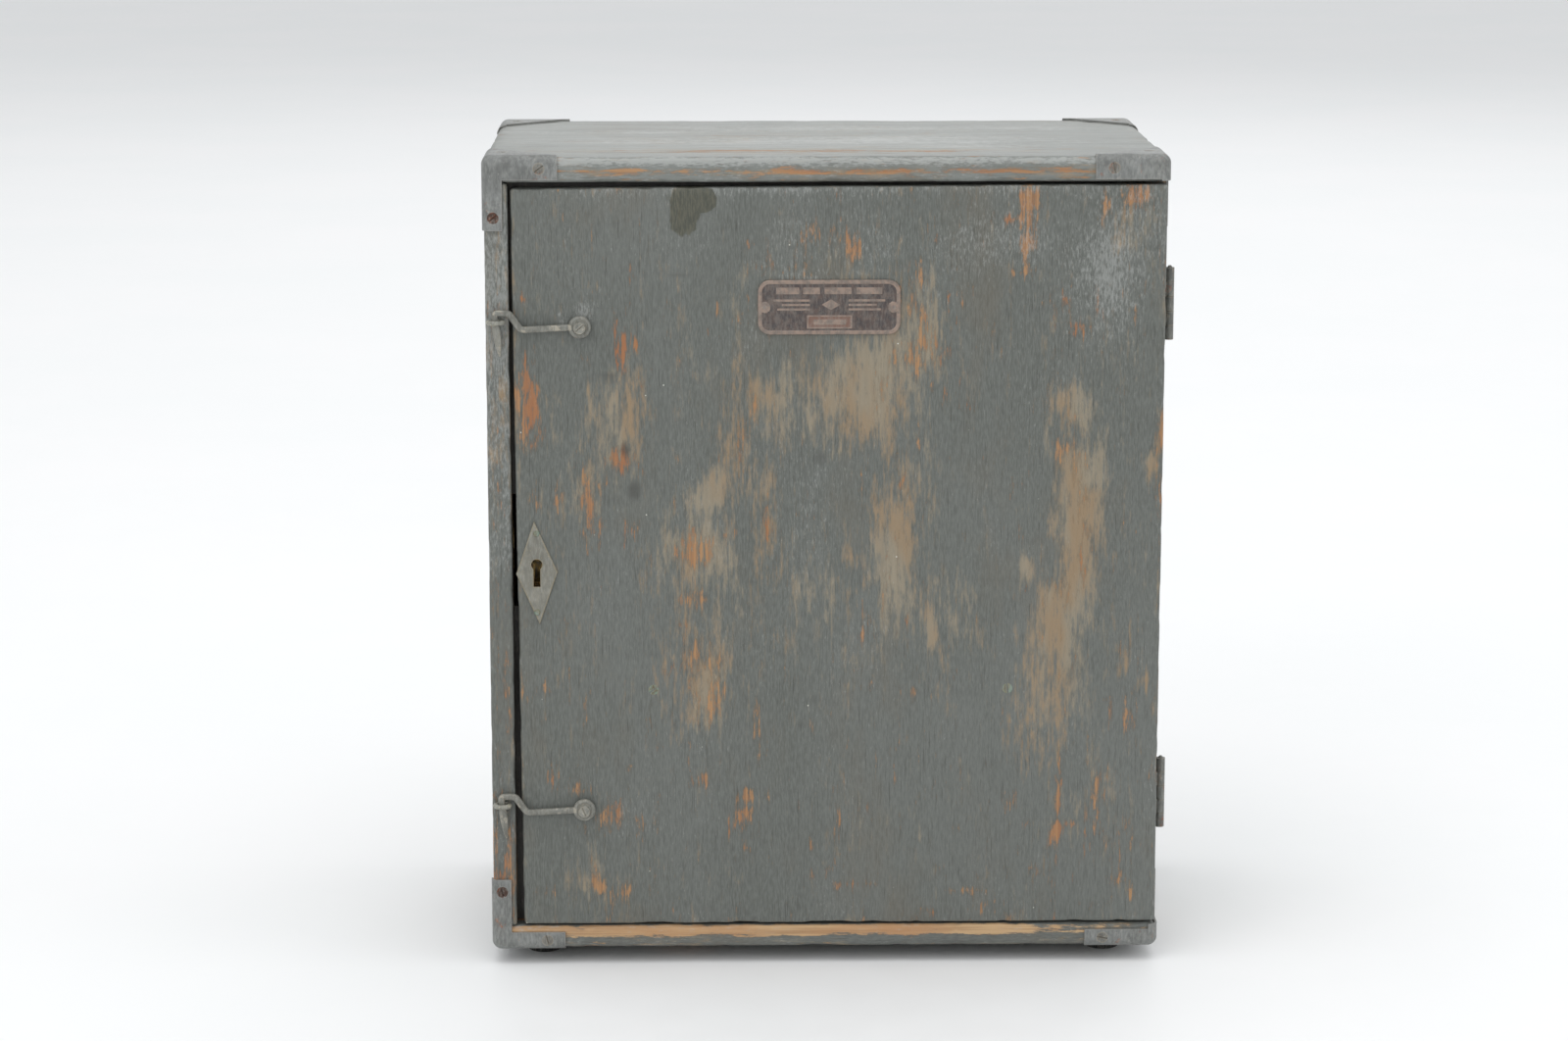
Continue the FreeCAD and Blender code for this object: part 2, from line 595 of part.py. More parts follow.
strikeY = boltY + s.bolt_thickness / 2 - s.strike_width / 2
strikeLow = boltLow + s.bolt_height / 2 - s.strike_height / 2
strikeBlank = box("strike_blank", (s.strike_thickness, s.strike_width, s.strike_height),
                  (innerLeft - s.strike_thickness, strikeY, strikeLow))
strikeSlot = box("strike_slot", (s.strike_pocket, s.bolt_thickness + s.bolt_clearance * 4,
                                 s.bolt_height + s.bolt_clearance * 4),
                 (innerLeft - s.strike_pocket, boltY - s.bolt_clearance * 2,
                  boltLow - s.bolt_clearance * 2))
strikeMiddle = strikeY + s.strike_width / 2
strikeScrewForm = fastener("strike_screw_form", s.block_screw_head_radius, s.screw_shank_radius,
                           s.side_thickness - s.screw_end_wood, under=s.strike_thickness)
strikeScrew = slotted("strike_screw", strikeScrewForm, s.screw_head_radius, 0)
fastenerSet("strike_screws", strikeScrew, strikeScrewForm,
            [(vec(innerLeft, strikeMiddle, strikeLow + s.strike_screw_inset), "+X"),
             (vec(innerLeft, strikeMiddle, strikeLow + s.strike_height - s.strike_screw_inset), "+X")])
node(cut("strike_plate", strikeBlank, [strikeSlot, bores["strike_screws"]]), "strike_plate")

# escutcheon and name plate
halfWide = s.lozenge_width / 2
halfTall = s.lozenge_height / 2
lozengeZ = keyZ - s.lozenge_drop
lozengeBlank = padded("lozenge_blank", "XZ_Plane",
                      [(0, halfTall), (-halfWide, 0), (0, -halfTall), (halfWide, 0)], s.lozenge_thickness)
dressed(lozengeBlank, "Chamfer",
        lambda e: e.BoundBox.YMax < -float(s.lozenge_thickness) + 1e-6, s.lozenge_thickness / 3)
lozengeBlank.Placement = Placement(Vector(), Rotation(Vector(0, 1, 0), -float(s.lozenge_tilt)))
bindPlace(lozengeBlank, (keyX, front, lozengeZ))
tackSpots = [(vec(keyX, front - s.lozenge_thickness, lozengeZ + sign * s.lozenge_pin_spacing / 2), "-Y")
             for sign in (-1, 1)]
fastenerSet("escutcheon_pins", tackForm, tackForm, tackSpots)
node(cut("escutcheon", lozengeBlank, [keyhole, bores["escutcheon_pins"]]), "escutcheon")

plateZ = s.plate_height_at
halfWide = s.plate_width / 2
halfTall = s.plate_height / 2
plateBlank = padded("plate_blank", "XZ_Plane",
                    [(halfWide, halfTall), (-halfWide, halfTall),
                     (-halfWide, -halfTall), (halfWide, -halfTall)],
                    s.plate_thickness)
dressed(plateBlank, "Fillet", lambda e: along(e, Vector(0, 1, 0)), s.plate_corner)
rimWide = halfWide - s.plate_rim
rimTall = halfTall - s.plate_rim
recess = padded("plate_recess", "XZ_Plane",
                [(rimWide, rimTall), (-rimWide, rimTall), (-rimWide, -rimTall), (rimWide, -rimTall)],
                s.plate_thickness)
dressed(recess, "Fillet", lambda e: along(e, Vector(0, 1, 0)), s.plate_corner - s.plate_rim)
bindPlace(plateBlank, (s.plate_offset, front, plateZ))
bindPlace(recess, (s.plate_offset, front - s.plate_thickness + s.plate_recess, plateZ))
plateFloor = front - (s.plate_thickness - s.plate_recess)
fastenerSet("name_plate_pins", tackForm, tackForm,
            [(vec(s.plate_offset + sign * s.plate_pin_spacing / 2, plateFloor, plateZ), "-Y")
             for sign in (-1, 1)])
node(cut("name_plate", plateBlank, [recess, bores["name_plate_pins"]]), "name_plate")

# padded block inside the door
blockLow = s.block_height_at - s.block_height / 2
blockLeft = s.block_offset - s.block_length / 2
fastenerSet("door_block_screws", brassScrew, brassForm,
            [(vec(s.block_offset + sign * s.block_screw_spacing / 2, front, s.block_height_at), "-Y")
             for sign in (-1, 1)])
blockBlank = box("door_block_blank", (s.block_length, s.block_depth, s.block_height),
                 (blockLeft, doorBack, blockLow))
node(cut("door_block", blockBlank, [bores["door_block_screws"]]), "door_block")
node(box("door_block_felt", (s.block_length, s.felt_thickness, s.block_height),
         (blockLeft, doorBack + s.block_depth, blockLow)), "door_block_felt")

# door panel
doorRight = right - s.door_hinge_inset
doorLow = floorTop + s.door_bottom_gap
doorCorners = [(doorRight, ceiling - s.top_gap_hinge_side),
               (innerLeft + s.lock_gap_top, ceiling - s.top_gap_lock_side),
               (innerLeft + s.lock_gap_bottom, doorLow), (doorRight, doorLow)]
doorBlank = padded("door_blank", "XZ_Plane", doorCorners, s.door_thickness)
dressed(doorBlank, "Fillet",
        lambda e: e.BoundBox.YMax < -float(s.door_thickness) + 1e-6, s.door_edge_round)
bindPlace(doorBlank, (0, doorBack, 0))
doorBores = [bores[n] for n in ("hinge_door_screws", "hook_screws", "lock_screws", "escutcheon_pins",
                                "name_plate_pins", "door_block_screws")]
node(cut("door_panel", doorBlank, [keyhole] + doorBores + [seats[1], seats[3]]), "door_panel")

# boards of the case
innerHeight = s.case_height - s.top_thickness - s.bottom_thickness
innerWidth = s.case_width - s.side_thickness * 2


def board(name, size, corner, tools):
    blank = common(name + "_blank", caseBlock, box(name + "_size", size, corner))
    return node(cut(name, blank, tools), name)


# feet under the bottom board
footSpots = {"front_left": (left + s.foot_inset, front + s.foot_setback),
             "front_right": (right - s.foot_inset, front + s.foot_setback),
             "rear_left": (left + s.foot_inset, back - s.foot_setback),
             "rear_right": (right - s.foot_inset, back - s.foot_setback)}
footScrewForm = fastener("foot_screw_form", s.round_head_radius, s.screw_shank_radius,
                         s.foot_height - s.foot_recess_depth + s.bottom_thickness - s.screw_end_wood,
                         rise=s.round_head_height)
footScrew = slotted("foot_screw", footScrewForm, s.round_head_radius, s.round_head_height)
fastenerSet("foot_screws", footScrew, footScrewForm,
            [(vec(x, y, s.foot_recess_depth), "-Z") for x, y in footSpots.values()])
for place, (x, y) in footSpots.items():
    foot = turned("foot_form_" + place,
                  [(s.screw_shank_radius + s.foot_hole_clearance, s.foot_height),
                   (s.foot_radius, s.foot_height),
                   (s.foot_sole_radius, 0), (s.foot_recess_radius, 0),
                   (s.foot_recess_radius, s.foot_recess_depth),
                   (s.screw_shank_radius + s.foot_hole_clearance, s.foot_recess_depth)])
    bindPlace(foot, (x, y, 0))
    node(foot, "foot_" + place)

# rails that the sliding board runs in
railFront = doorBack + s.sled_front_inset
railLength = s.sled_length + s.rail_extra
railHeight = s.sled_tongue + s.sled_clearance + s.rail_lip_thickness
railOuter = s.case_width / 2 - s.side_thickness - s.rail_inset
sledHalf = railOuter - (s.rail_width - s.rail_lip) - s.sled_clearance
railScrewForm = fastener("rail_screw_form", s.screw_head_radius, s.screw_shank_radius,
                         railHeight + s.bottom_thickness - s.screw_end_wood, under=s.screw_head_depth)
railScrew = slotted("rail_screw", railScrewForm, s.screw_head_radius, 0)
railScrewX = railOuter - (s.rail_width - s.rail_lip) / 2
railScrewShares = (0.12, 0.5, 0.88)     # along the rail
fastenerSet("rail_screws", railScrew, railScrewForm,
            [(vec(railScrewX * side, railFront + railLength * share, floorTop + railHeight), "+Z")
             for side in (-1, 1) for share in railScrewShares])
for place, side in (("left", -1), ("right", 1)):
    inner = railOuter - s.rail_width
    under = railOuter - (s.rail_width - s.rail_lip)
    lip = s.sled_tongue + s.sled_clearance
    corners = [(railOuter, 0), (railOuter, railHeight), (inner, railHeight), (inner, lip),
               (under, lip), (under, 0)]
    rail = padded(place + "_rail_blank", "XZ_Plane", [(x * side, z) for x, z in corners], railLength)
    bindPlace(rail, (0, railFront + railLength, floorTop))
    node(cut(place + "_rail", rail, [bores["rail_screws"]]), place + "_rail")

# sliding board with a plinth and the brass boss
sledFoot = floorTop + s.sled_clearance / 2
shoulder = railOuter - s.rail_width - s.sled_clearance
sledProfile = [(sledHalf, 0), (sledHalf, s.sled_tongue - s.sled_clearance / 2),
               (shoulder, s.sled_tongue - s.sled_clearance / 2), (shoulder, s.sled_thickness),
               (-shoulder, s.sled_thickness), (-shoulder, s.sled_tongue - s.sled_clearance / 2),
               (-sledHalf, s.sled_tongue - s.sled_clearance / 2), (-sledHalf, 0)]
sledBlank = padded("sled_blank", "XZ_Plane", sledProfile, s.sled_length)
bindPlace(sledBlank, (0, railFront + s.sled_length, sledFoot))
bossY = railFront + s.boss_setback
plinthZ = sledFoot + s.sled_thickness
flangeZ = plinthZ + s.plinth_height
bossScrewForm = fastener("boss_screw_form", s.screw_head_radius, s.screw_shank_radius,
                         s.boss_flange_thickness + s.plinth_height + s.sled_thickness - s.screw_end_wood,
                         under=s.screw_head_depth)
bossScrew = slotted("boss_screw", bossScrewForm, s.screw_head_radius, 0)
bossScrewTurns = (30, 150, 270)         # degrees round the boss
bossSpots = [(Vector(float(s.boss_screw_circle) * math.cos(math.radians(turn)),
                     float(bossY) + float(s.boss_screw_circle) * math.sin(math.radians(turn)),
                     float(flangeZ + s.boss_flange_thickness)), "+Z") for turn in bossScrewTurns]
fastenerSet("boss_screws", bossScrew, bossScrewForm, bossSpots)
node(cut("sled_board", sledBlank, [bores["boss_screws"]]), "sled_board")
plinthBlank = turned("plinth_blank", [(0, 0), (s.plinth_radius, 0),
                                      (s.plinth_radius, s.plinth_height - s.plinth_chamfer),
                                      (s.plinth_radius - s.plinth_chamfer, s.plinth_height),
                                      (0, s.plinth_height)])
bindPlace(plinthBlank, (0, bossY, plinthZ))
node(cut("instrument_plinth", plinthBlank, [bores["boss_screws"]]), "instrument_plinth")
bossTop = s.boss_flange_thickness + s.boss_height
bossBlank = turned("boss_blank", [(s.boss_bore, 0), (s.boss_flange_radius, 0),
                                  (s.boss_flange_radius, s.boss_flange_thickness),
                                  (s.boss_radius, s.boss_flange_thickness), (s.boss_radius, bossTop),
                                  (s.boss_bore, bossTop)])
bindPlace(bossBlank, (0, bossY, flangeZ))
node(cut("instrument_boss", bossBlank, [bores["boss_screws"]]), "instrument_boss")

# boards
board("top_board", (s.case_width, s.case_depth, s.top_thickness), (left, front, ceiling),
      [bores["corner_screws"]])
board("bottom_board", (s.case_width, s.case_depth, s.bottom_thickness), (left, front, base),
      [bores["corner_screws"], bores["foot_screws"], bores["rail_screws"]])
board("left_side", (s.side_thickness, s.case_depth, innerHeight), (left, front, floorTop),
      [bores["corner_screws"], bores["strike_screws"], strikeBlank, strikeSlot,
       nodes["upper_screw_eye"], nodes["lower_screw_eye"]])
board("right_side", (s.side_thickness, s.case_depth - s.door_thickness - s.hinge_gap, innerHeight),
      (innerRight, sideFront, floorTop),
      [bores["corner_screws"], bores["hinge_case_screws"], seats[0], seats[2]])
board("back_panel", (innerWidth, s.back_thickness, innerHeight), (innerLeft, innerBack, floorTop),
      [bores["corner_screws"]])

# stop strips that the door closes against
stopY = doorBack + s.stop_clearance
leftStrip = box("left_strip", (s.stop_width, s.stop_depth, innerHeight), (innerLeft, stopY, floorTop))
lockClear = box("lock_clearance",
                (s.stop_width * 2, s.stop_depth * 2, s.lock_plate_height + s.stop_notch_margin * 2),
                (innerLeft, stopY - s.stop_depth / 2, lockLow - s.stop_notch_margin))
node(cut("left_door_stop", leftStrip, [lockClear]), "left_door_stop")
node(box("top_door_stop", (innerWidth - s.stop_width, s.stop_depth, s.stop_width),
         (innerLeft + s.stop_width, stopY, ceiling - s.stop_width)), "top_door_stop")

# check and write
doc.recompute()
for item in doc.Objects:
    if "Invalid" in item.State or "Error" in item.State:
        raise RuntimeError("%s failed: %s" % (item.Label, item.State))
os.makedirs("parts", exist_ok=True)
for name, item in nodes.items():
    shape = item.Shape
    if shape.isNull() or not shape.isValid() or not shape.Solids:
        raise RuntimeError("%s has no valid solid" % name)
    shape.exportStep("parts/%s.step" % name)
print("wrote %d pieces" % len(nodes))
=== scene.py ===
import math

import bpy
import numpy as np
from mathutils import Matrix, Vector


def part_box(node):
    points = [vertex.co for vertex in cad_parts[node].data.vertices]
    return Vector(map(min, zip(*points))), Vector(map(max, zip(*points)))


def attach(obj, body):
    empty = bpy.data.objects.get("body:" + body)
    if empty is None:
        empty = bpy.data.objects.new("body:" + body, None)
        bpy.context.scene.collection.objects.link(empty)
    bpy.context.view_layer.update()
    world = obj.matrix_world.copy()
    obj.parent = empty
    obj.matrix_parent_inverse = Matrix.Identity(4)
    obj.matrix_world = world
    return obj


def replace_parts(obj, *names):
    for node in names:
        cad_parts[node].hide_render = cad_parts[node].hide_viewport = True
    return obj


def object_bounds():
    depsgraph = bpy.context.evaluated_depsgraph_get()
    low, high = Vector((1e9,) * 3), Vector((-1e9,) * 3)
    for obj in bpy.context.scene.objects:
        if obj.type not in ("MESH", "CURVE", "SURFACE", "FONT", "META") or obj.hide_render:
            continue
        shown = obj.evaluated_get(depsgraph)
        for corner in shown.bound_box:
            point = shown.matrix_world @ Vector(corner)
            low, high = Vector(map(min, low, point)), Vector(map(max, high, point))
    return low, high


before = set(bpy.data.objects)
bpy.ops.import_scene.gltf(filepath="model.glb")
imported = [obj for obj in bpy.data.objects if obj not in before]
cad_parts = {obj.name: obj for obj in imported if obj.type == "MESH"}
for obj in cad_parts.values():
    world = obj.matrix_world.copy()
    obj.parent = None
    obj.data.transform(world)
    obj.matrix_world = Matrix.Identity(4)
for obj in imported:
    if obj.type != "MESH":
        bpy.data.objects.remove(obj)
cadLow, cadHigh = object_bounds()
print("frame loaded:", len(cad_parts), "nodes")

mm = 0.001


def boxOf(name):
    # the lowest and highest corner of a node, as arrays
    return [np.array(corner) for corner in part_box(name)]


def tone(red, green, blue):
    # a screen colour from 0 to 255, as the linear colour a shader wants
    share = np.array([red, green, blue]) / 255
    linear = np.where(share <= 0.04045, share / 12.92, ((share + 0.055) / 1.055) ** 2.4)
    return (*[float(x) for x in linear], 1.0)


def scrambled(i, j, k, seed):
    # a repeatable number from 0 to 1 for each lattice corner, by multiplying and folding its whole numbers
    n = (i * 73856093) ^ (j * 19349663) ^ (k * 83492791) ^ (seed * 83492791 + 1013904223)
    n = ((n ^ (n >> 13)) * 1274126177) & 0x7FFFFFFF
    n = ((n ^ (n >> 15)) * 668265263) & 0x7FFFFFFF
    return ((n ^ (n >> 16)) & 0xFFFFFF) / 0xFFFFFF


def drift(points, cell, seed):
    # value noise from -1 to 1: the lattice numbers blended along each axis by 3t^2 - 2t^3
    q = points / np.asarray(cell, float)
    base = np.floor(q).astype(np.int64)
    t = q - base
    t = t * t * (3 - 2 * t)
    total = np.zeros(len(q))
    for corner in range(8):
        step = np.array([corner & 1, corner >> 1 & 1, corner >> 2 & 1])
        share = np.prod(np.where(step, t, 1 - t), axis=1)
        total += share * scrambled(*(base + step).T, seed)
    return total * 2 - 1


def marks(low, high, radius, spacing, extra=()):
    # grid marks along one axis: close together on the rounded ends, then evenly spaced between them
    ease = radius * np.array([0, 0.15, 0.35, 0.6])
    middle = np.linspace(low + radius, high - radius, max(3, int((high - low) / spacing) + 1))
    return np.unique(np.round(np.concatenate([low + ease, middle, high - ease, extra]), 8))


def boxSkin(lines):
    # the skin of a box ruled by three lists of marks: its points, its four-sided faces turned outwards,
    # and for each face the axis and end that it looks along
    count = [len(line) for line in lines]
    quads, facing = [], []
    for axis in range(3):
        a, b = (axis + 1) % 3, (axis + 2) % 3
        i, j = (g.ravel() for g in np.meshgrid(np.arange(count[a] - 1),
                                               np.arange(count[b] - 1), indexing="ij"))
        for end in (0, 1):
            ring = [(0, 0), (1, 0), (1, 1), (0, 1)] if end else [(0, 0), (0, 1), (1, 1), (1, 0)]
            corner = np.zeros((len(i), 4, 3), np.int64)
            corner[:, :, axis] = end * (count[axis] - 1)
            for c, (da, db) in enumerate(ring):
                corner[:, c, a] = i + da
                corner[:, c, b] = j + db
            quads.append(corner)
            facing.append(np.full(len(i), axis * 2 + end))
    quads = np.concatenate(quads)
    key = (quads[..., 0] * count[1] + quads[..., 1]) * count[2] + quads[..., 2]
    used, where = np.unique(key, return_inverse=True)
    points = np.stack([lines[0][used // (count[1] * count[2])],
                       lines[1][used // count[2] % count[1]],
                       lines[2][used % count[2]]], axis=1)
    return points, where.reshape(-1, 4), np.concatenate(facing)


def rounded(points, low, high, radius):
    # a box point is pulled to the nearest point of the box shrunk by radius, then pushed out again by radius,
    # so flat faces stay and edges and corners become quarter rounds; also gives the way out at each point
    core = np.clip(points, low + radius, high - radius)
    out = points - core
    out /= np.maximum(np.linalg.norm(out, axis=1, keepdims=True), 1e-12)
    return core + radius * out, out


def thousandths(rows):
    # patches are listed in thousandths of the board's width, height and full strength
    return np.array(rows) / 1000


def patchField(u, v, patches):
    # sum of soft oval patches: strength * exp(-(oval distance)^3), with (u, v, half width, half height,
    # strength)
    total = np.zeros(len(u))
    for pu, pv, ru, rv, strength in patches:
        total += strength * np.exp(-(((u - pu) / ru) ** 2 + ((v - pv) / rv) ** 2) ** 1.5)
    return total


def solid(name, points, faces, body, materials, index=None, fields=None, smooth=True):
    mesh = bpy.data.meshes.new(name)
    mesh.from_pydata(points.tolist(), [], faces if isinstance(faces, list) else faces.tolist())
    for m in materials:
        mesh.materials.append(m)
    if index is not None:
        mesh.polygons.foreach_set("material_index", index.astype(np.int32))
    mesh.polygons.foreach_set("use_smooth", np.full(len(mesh.polygons), smooth))
    for key, values in (fields or {}).items():
        layer = mesh.attributes.new(key, "FLOAT", "POINT")
        layer.data.foreach_set("value", np.clip(values, 0, 2).astype(np.float32))
    mesh.update()
    piece = bpy.data.objects.new(name, mesh)
    bpy.context.scene.collection.objects.link(piece)
    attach(piece, body)
    return piece


class Bench:
    # a short way to wire shader nodes: each call adds one node, feeds it and gives back what it puts out
    def __init__(self, tree):
        self.tree = tree
        self.count = 0

    def add(self, kind, feeds=None, **settings):
        node = self.tree.nodes.new("ShaderNode" + kind)
        node.location = (self.count % 12 * 190, -(self.count // 12) * 320)
        self.count += 1
        for key, value in settings.items():
            setattr(node, key, value)
        for key, value in (feeds or {}).items():
            if isinstance(value, bpy.types.NodeSocket):
                self.tree.links.new(value, node.inputs[key])
            else:
                node.inputs[key].default_value = value
        return node

    def scaled(self, vector, scale):
        scale = scale if isinstance(scale, tuple) else (scale,) * 3
        return self.add("VectorMath", {0: vector, 1: scale}, operation="MULTIPLY").outputs[0]

    def noise(self, vector, scale, detail=3.0, rough=0.55, warp=0.0):
        return self.add("TexNoise", {"Vector": self.scaled(vector, scale), "Scale": 1.0, "Detail": detail,
                                     "Roughness": rough, "Distortion": warp}).outputs["Fac"]

    def spot(self):
        return self.add("TexCoord").outputs["Object"]

    def held(self, name):
        # a value that the mesh holds at each point
        return self.add("Attribute", attribute_name=name).outputs["Fac"]

    def bump(self, height, strength, depth):
        return self.add("Bump", {"Height": height, "Strength": strength, "Distance": depth}).outputs[0]

    def math(self, operation, *values):
        return self.add("Math", dict(enumerate(values)), operation=operation).outputs[0]

    def sum(self, first, second):
        return self.math("ADD", first, second)

    def less(self, first, second):
        return self.math("SUBTRACT", first, second)

    def times(self, first, second):
        return self.math("MULTIPLY", first, second)

    def timesPlus(self, first, second, third):
        return self.math("MULTIPLY_ADD", first, second, third)

    def ease(self, value, low, high, fromValue=0.0, toValue=1.0):
        feeds = {"Value": value, "From Min": low, "From Max": high, "To Min": fromValue, "To Max": toValue}
        return self.add("MapRange", feeds, interpolation_type="SMOOTHSTEP").outputs["Result"]

    def mix(self, share, first, second, blend="MIX"):
        return self.add("Mix", {0: share, 6: first, 7: second}, data_type="RGBA", blend_type=blend).outputs[2]

    def group(self, tree, **feeds):
        return self.add("Group", feeds, node_tree=tree).outputs


def newGroup(name, takes, gives):
    tree = bpy.data.node_groups.new(name, "ShaderNodeTree")
    kinds = {"vector": "NodeSocketVector", "float": "NodeSocketFloat", "color": "NodeSocketColor"}
    for label, kind in takes:
        tree.interface.new_socket(label, in_out="INPUT", socket_type=kinds[kind])
    for label, kind in gives:
        tree.interface.new_socket(label, in_out="OUTPUT", socket_type=kinds[kind])
    source = tree.nodes.new("NodeGroupInput").outputs
    sink = tree.nodes.new("NodeGroupOutput").inputs
    return tree, Bench(tree), source, lambda label, value: tree.links.new(value, sink[label])


def newMaterial(name, plain, **sheen):
    # plain is the colour seen in a solid view; sheen sets numbers straight on the shader
    material = bpy.data.materials.new(name)
    material.use_nodes = True
    material.diffuse_color = plain
    tree = material.node_tree
    tree.nodes.clear()
    bench = Bench(tree)
    shader = bench.add("BsdfPrincipled", sheen)
    out = bench.add("OutputMaterial")
    tree.links.new(shader.outputs[0], out.inputs["Surface"])

    def plug(label, value):
        tree.links.new(value, shader.inputs[label])
    return material, bench, plug


def turnedPlace(bench, turn):
    # object coordinates, turned so that the wood's grain runs along Z
    spot = bench.spot()
    return bench.add("Mapping", {"Vector": spot, "Rotation": turn}).outputs[0]


grainGroup, b, take, give = newGroup("woodGrain", [("Place", "vector"), ("Scale", "float")],
                                     [("Fibre", "float"), ("Bands", "float"), ("Pores", "float")])
sized = b.add("VectorMath", {0: take["Place"], "Scale": take["Scale"]}, operation="SCALE").outputs[0]
give("Fibre", b.noise(sized, (850, 850, 16), 4, 0.62))
waver = b.noise(sized, (26, 26, 2.2), 3, 0.5)
rings = b.math("SINE", b.times(waver, 34.0))
give("Bands", b.ease(rings, -1.0, 1.0))
give("Pores", b.ease(b.noise(sized, (1500, 1500, 55), 2, 0.5), 0.62, 0.74))

wearInputs = [("Place", "vector"), *((label, "float") for label in ("Fibre", "Amount", "Start", "Soft"))]
wearGroup, b, take, give = newGroup("wornThrough", wearInputs, [("Mask", "float"), ("Rim", "float")])
blotch = b.noise(take["Place"], (110, 110, 42), 4, 0.6)
flake = b.noise(take["Place"], (270, 270, 64), 3, 0.6)
fleck = b.noise(take["Place"], (640, 640, 130), 4, 0.75)
ragged = b.timesPlus(blotch, 0.9, b.times(fleck, 1.5))
ragged = b.timesPlus(flake, 1.0, ragged)
ragged = b.timesPlus(take["Fibre"], 0.8, ragged)
level = b.sum(take["Amount"], b.less(ragged, 2.1))
mask = b.add("MapRange", {"Value": level, "From Min": take["Start"],
                          "From Max": b.sum(take["Soft"], take["Start"])}, interpolation_type="SMOOTHSTEP")
lower = b.sum(take["Start"], -0.1)
wider = b.add("MapRange", {"Value": level, "From Min": lower, "From Max": take["Start"]}).outputs["Result"]
give("Mask", mask.outputs["Result"])
give("Rim", b.less(wider, mask.outputs["Result"]))

edgeGroup, b, take, give = newGroup("rubbedEdge", [("Place", "vector"), ("Amount", "float")],
                                    [("Mask", "float")])
softNormal = b.add("Bevel", {"Radius": 0.9 * mm}, samples=4).outputs[0]
trueNormal = b.add("NewGeometry").outputs["Normal"]
bend = b.add("VectorMath", {0: softNormal, 1: trueNormal}, operation="DOT_PRODUCT").outputs["Value"]
bent = b.ease(bend, 0.995, 0.86)
scuff = b.noise(take["Place"], 380, 3, 0.6)
give("Mask", b.ease(b.sum(b.times(bent, take["Amount"]), b.times(scuff, 0.9)), 0.62, 0.95))

rustGroup, b, take, give = newGroup("rustBloom", [("Place", "vector"), ("Amount", "float")],
                                    [("Mask", "float"), ("Color", "color"), ("Height", "float")])
cloud = b.noise(take["Place"], 190, 5, 0.65, 0.4)
pit = b.noise(take["Place"], 1400, 3, 0.6)
spread = b.sum(b.sum(cloud, take["Amount"]), b.times(pit, 0.25))
give("Mask", b.ease(spread, 1.02, 1.2))
ruddy = b.mix(b.ease(pit, 0.35, 0.65), tone(92, 50, 32), tone(158, 92, 58))
give("Color", b.mix(b.ease(cloud, 0.45, 0.7), tone(70, 52, 44), ruddy))
give("Height", pit)

dustGroup, b, take, give = newGroup("dustAndSpecks", [("Place", "vector"), ("Amount", "float")],
                                    [("Haze", "float"), ("Specks", "float")])
film = b.noise(take["Place"], (38, 38, 20), 5, 0.62)
patchy = b.noise(take["Place"], (900, 900, 260), 6, 0.75)
thick = b.timesPlus(film, 0.5, b.times(patchy, 1.4))
give("Haze", b.ease(b.sum(thick, take["Amount"]), 1.06, 1.36))
cells = b.add("TexVoronoi", {"Vector": b.scaled(take["Place"], 120), "Scale": 1.0, "Randomness": 1.0})
lucky = b.add("SeparateColor", {0: cells.outputs["Color"]}).outputs[0]
dot = b.ease(cells.outputs["Distance"], 0.055, 0.02)
give("Specks", b.times(dot, b.ease(lucky, 0.90, 0.91)))
print("shared effects built")


wearKinds = ("bare", "rubbed", "stain", "pale", "knot")    # the boards hold each as a value at every point
woodTurns = {"alongZ": (0, 0, 0), "alongX": (0, math.radians(90), 0), "alongY": (math.radians(90), 0, 0)}


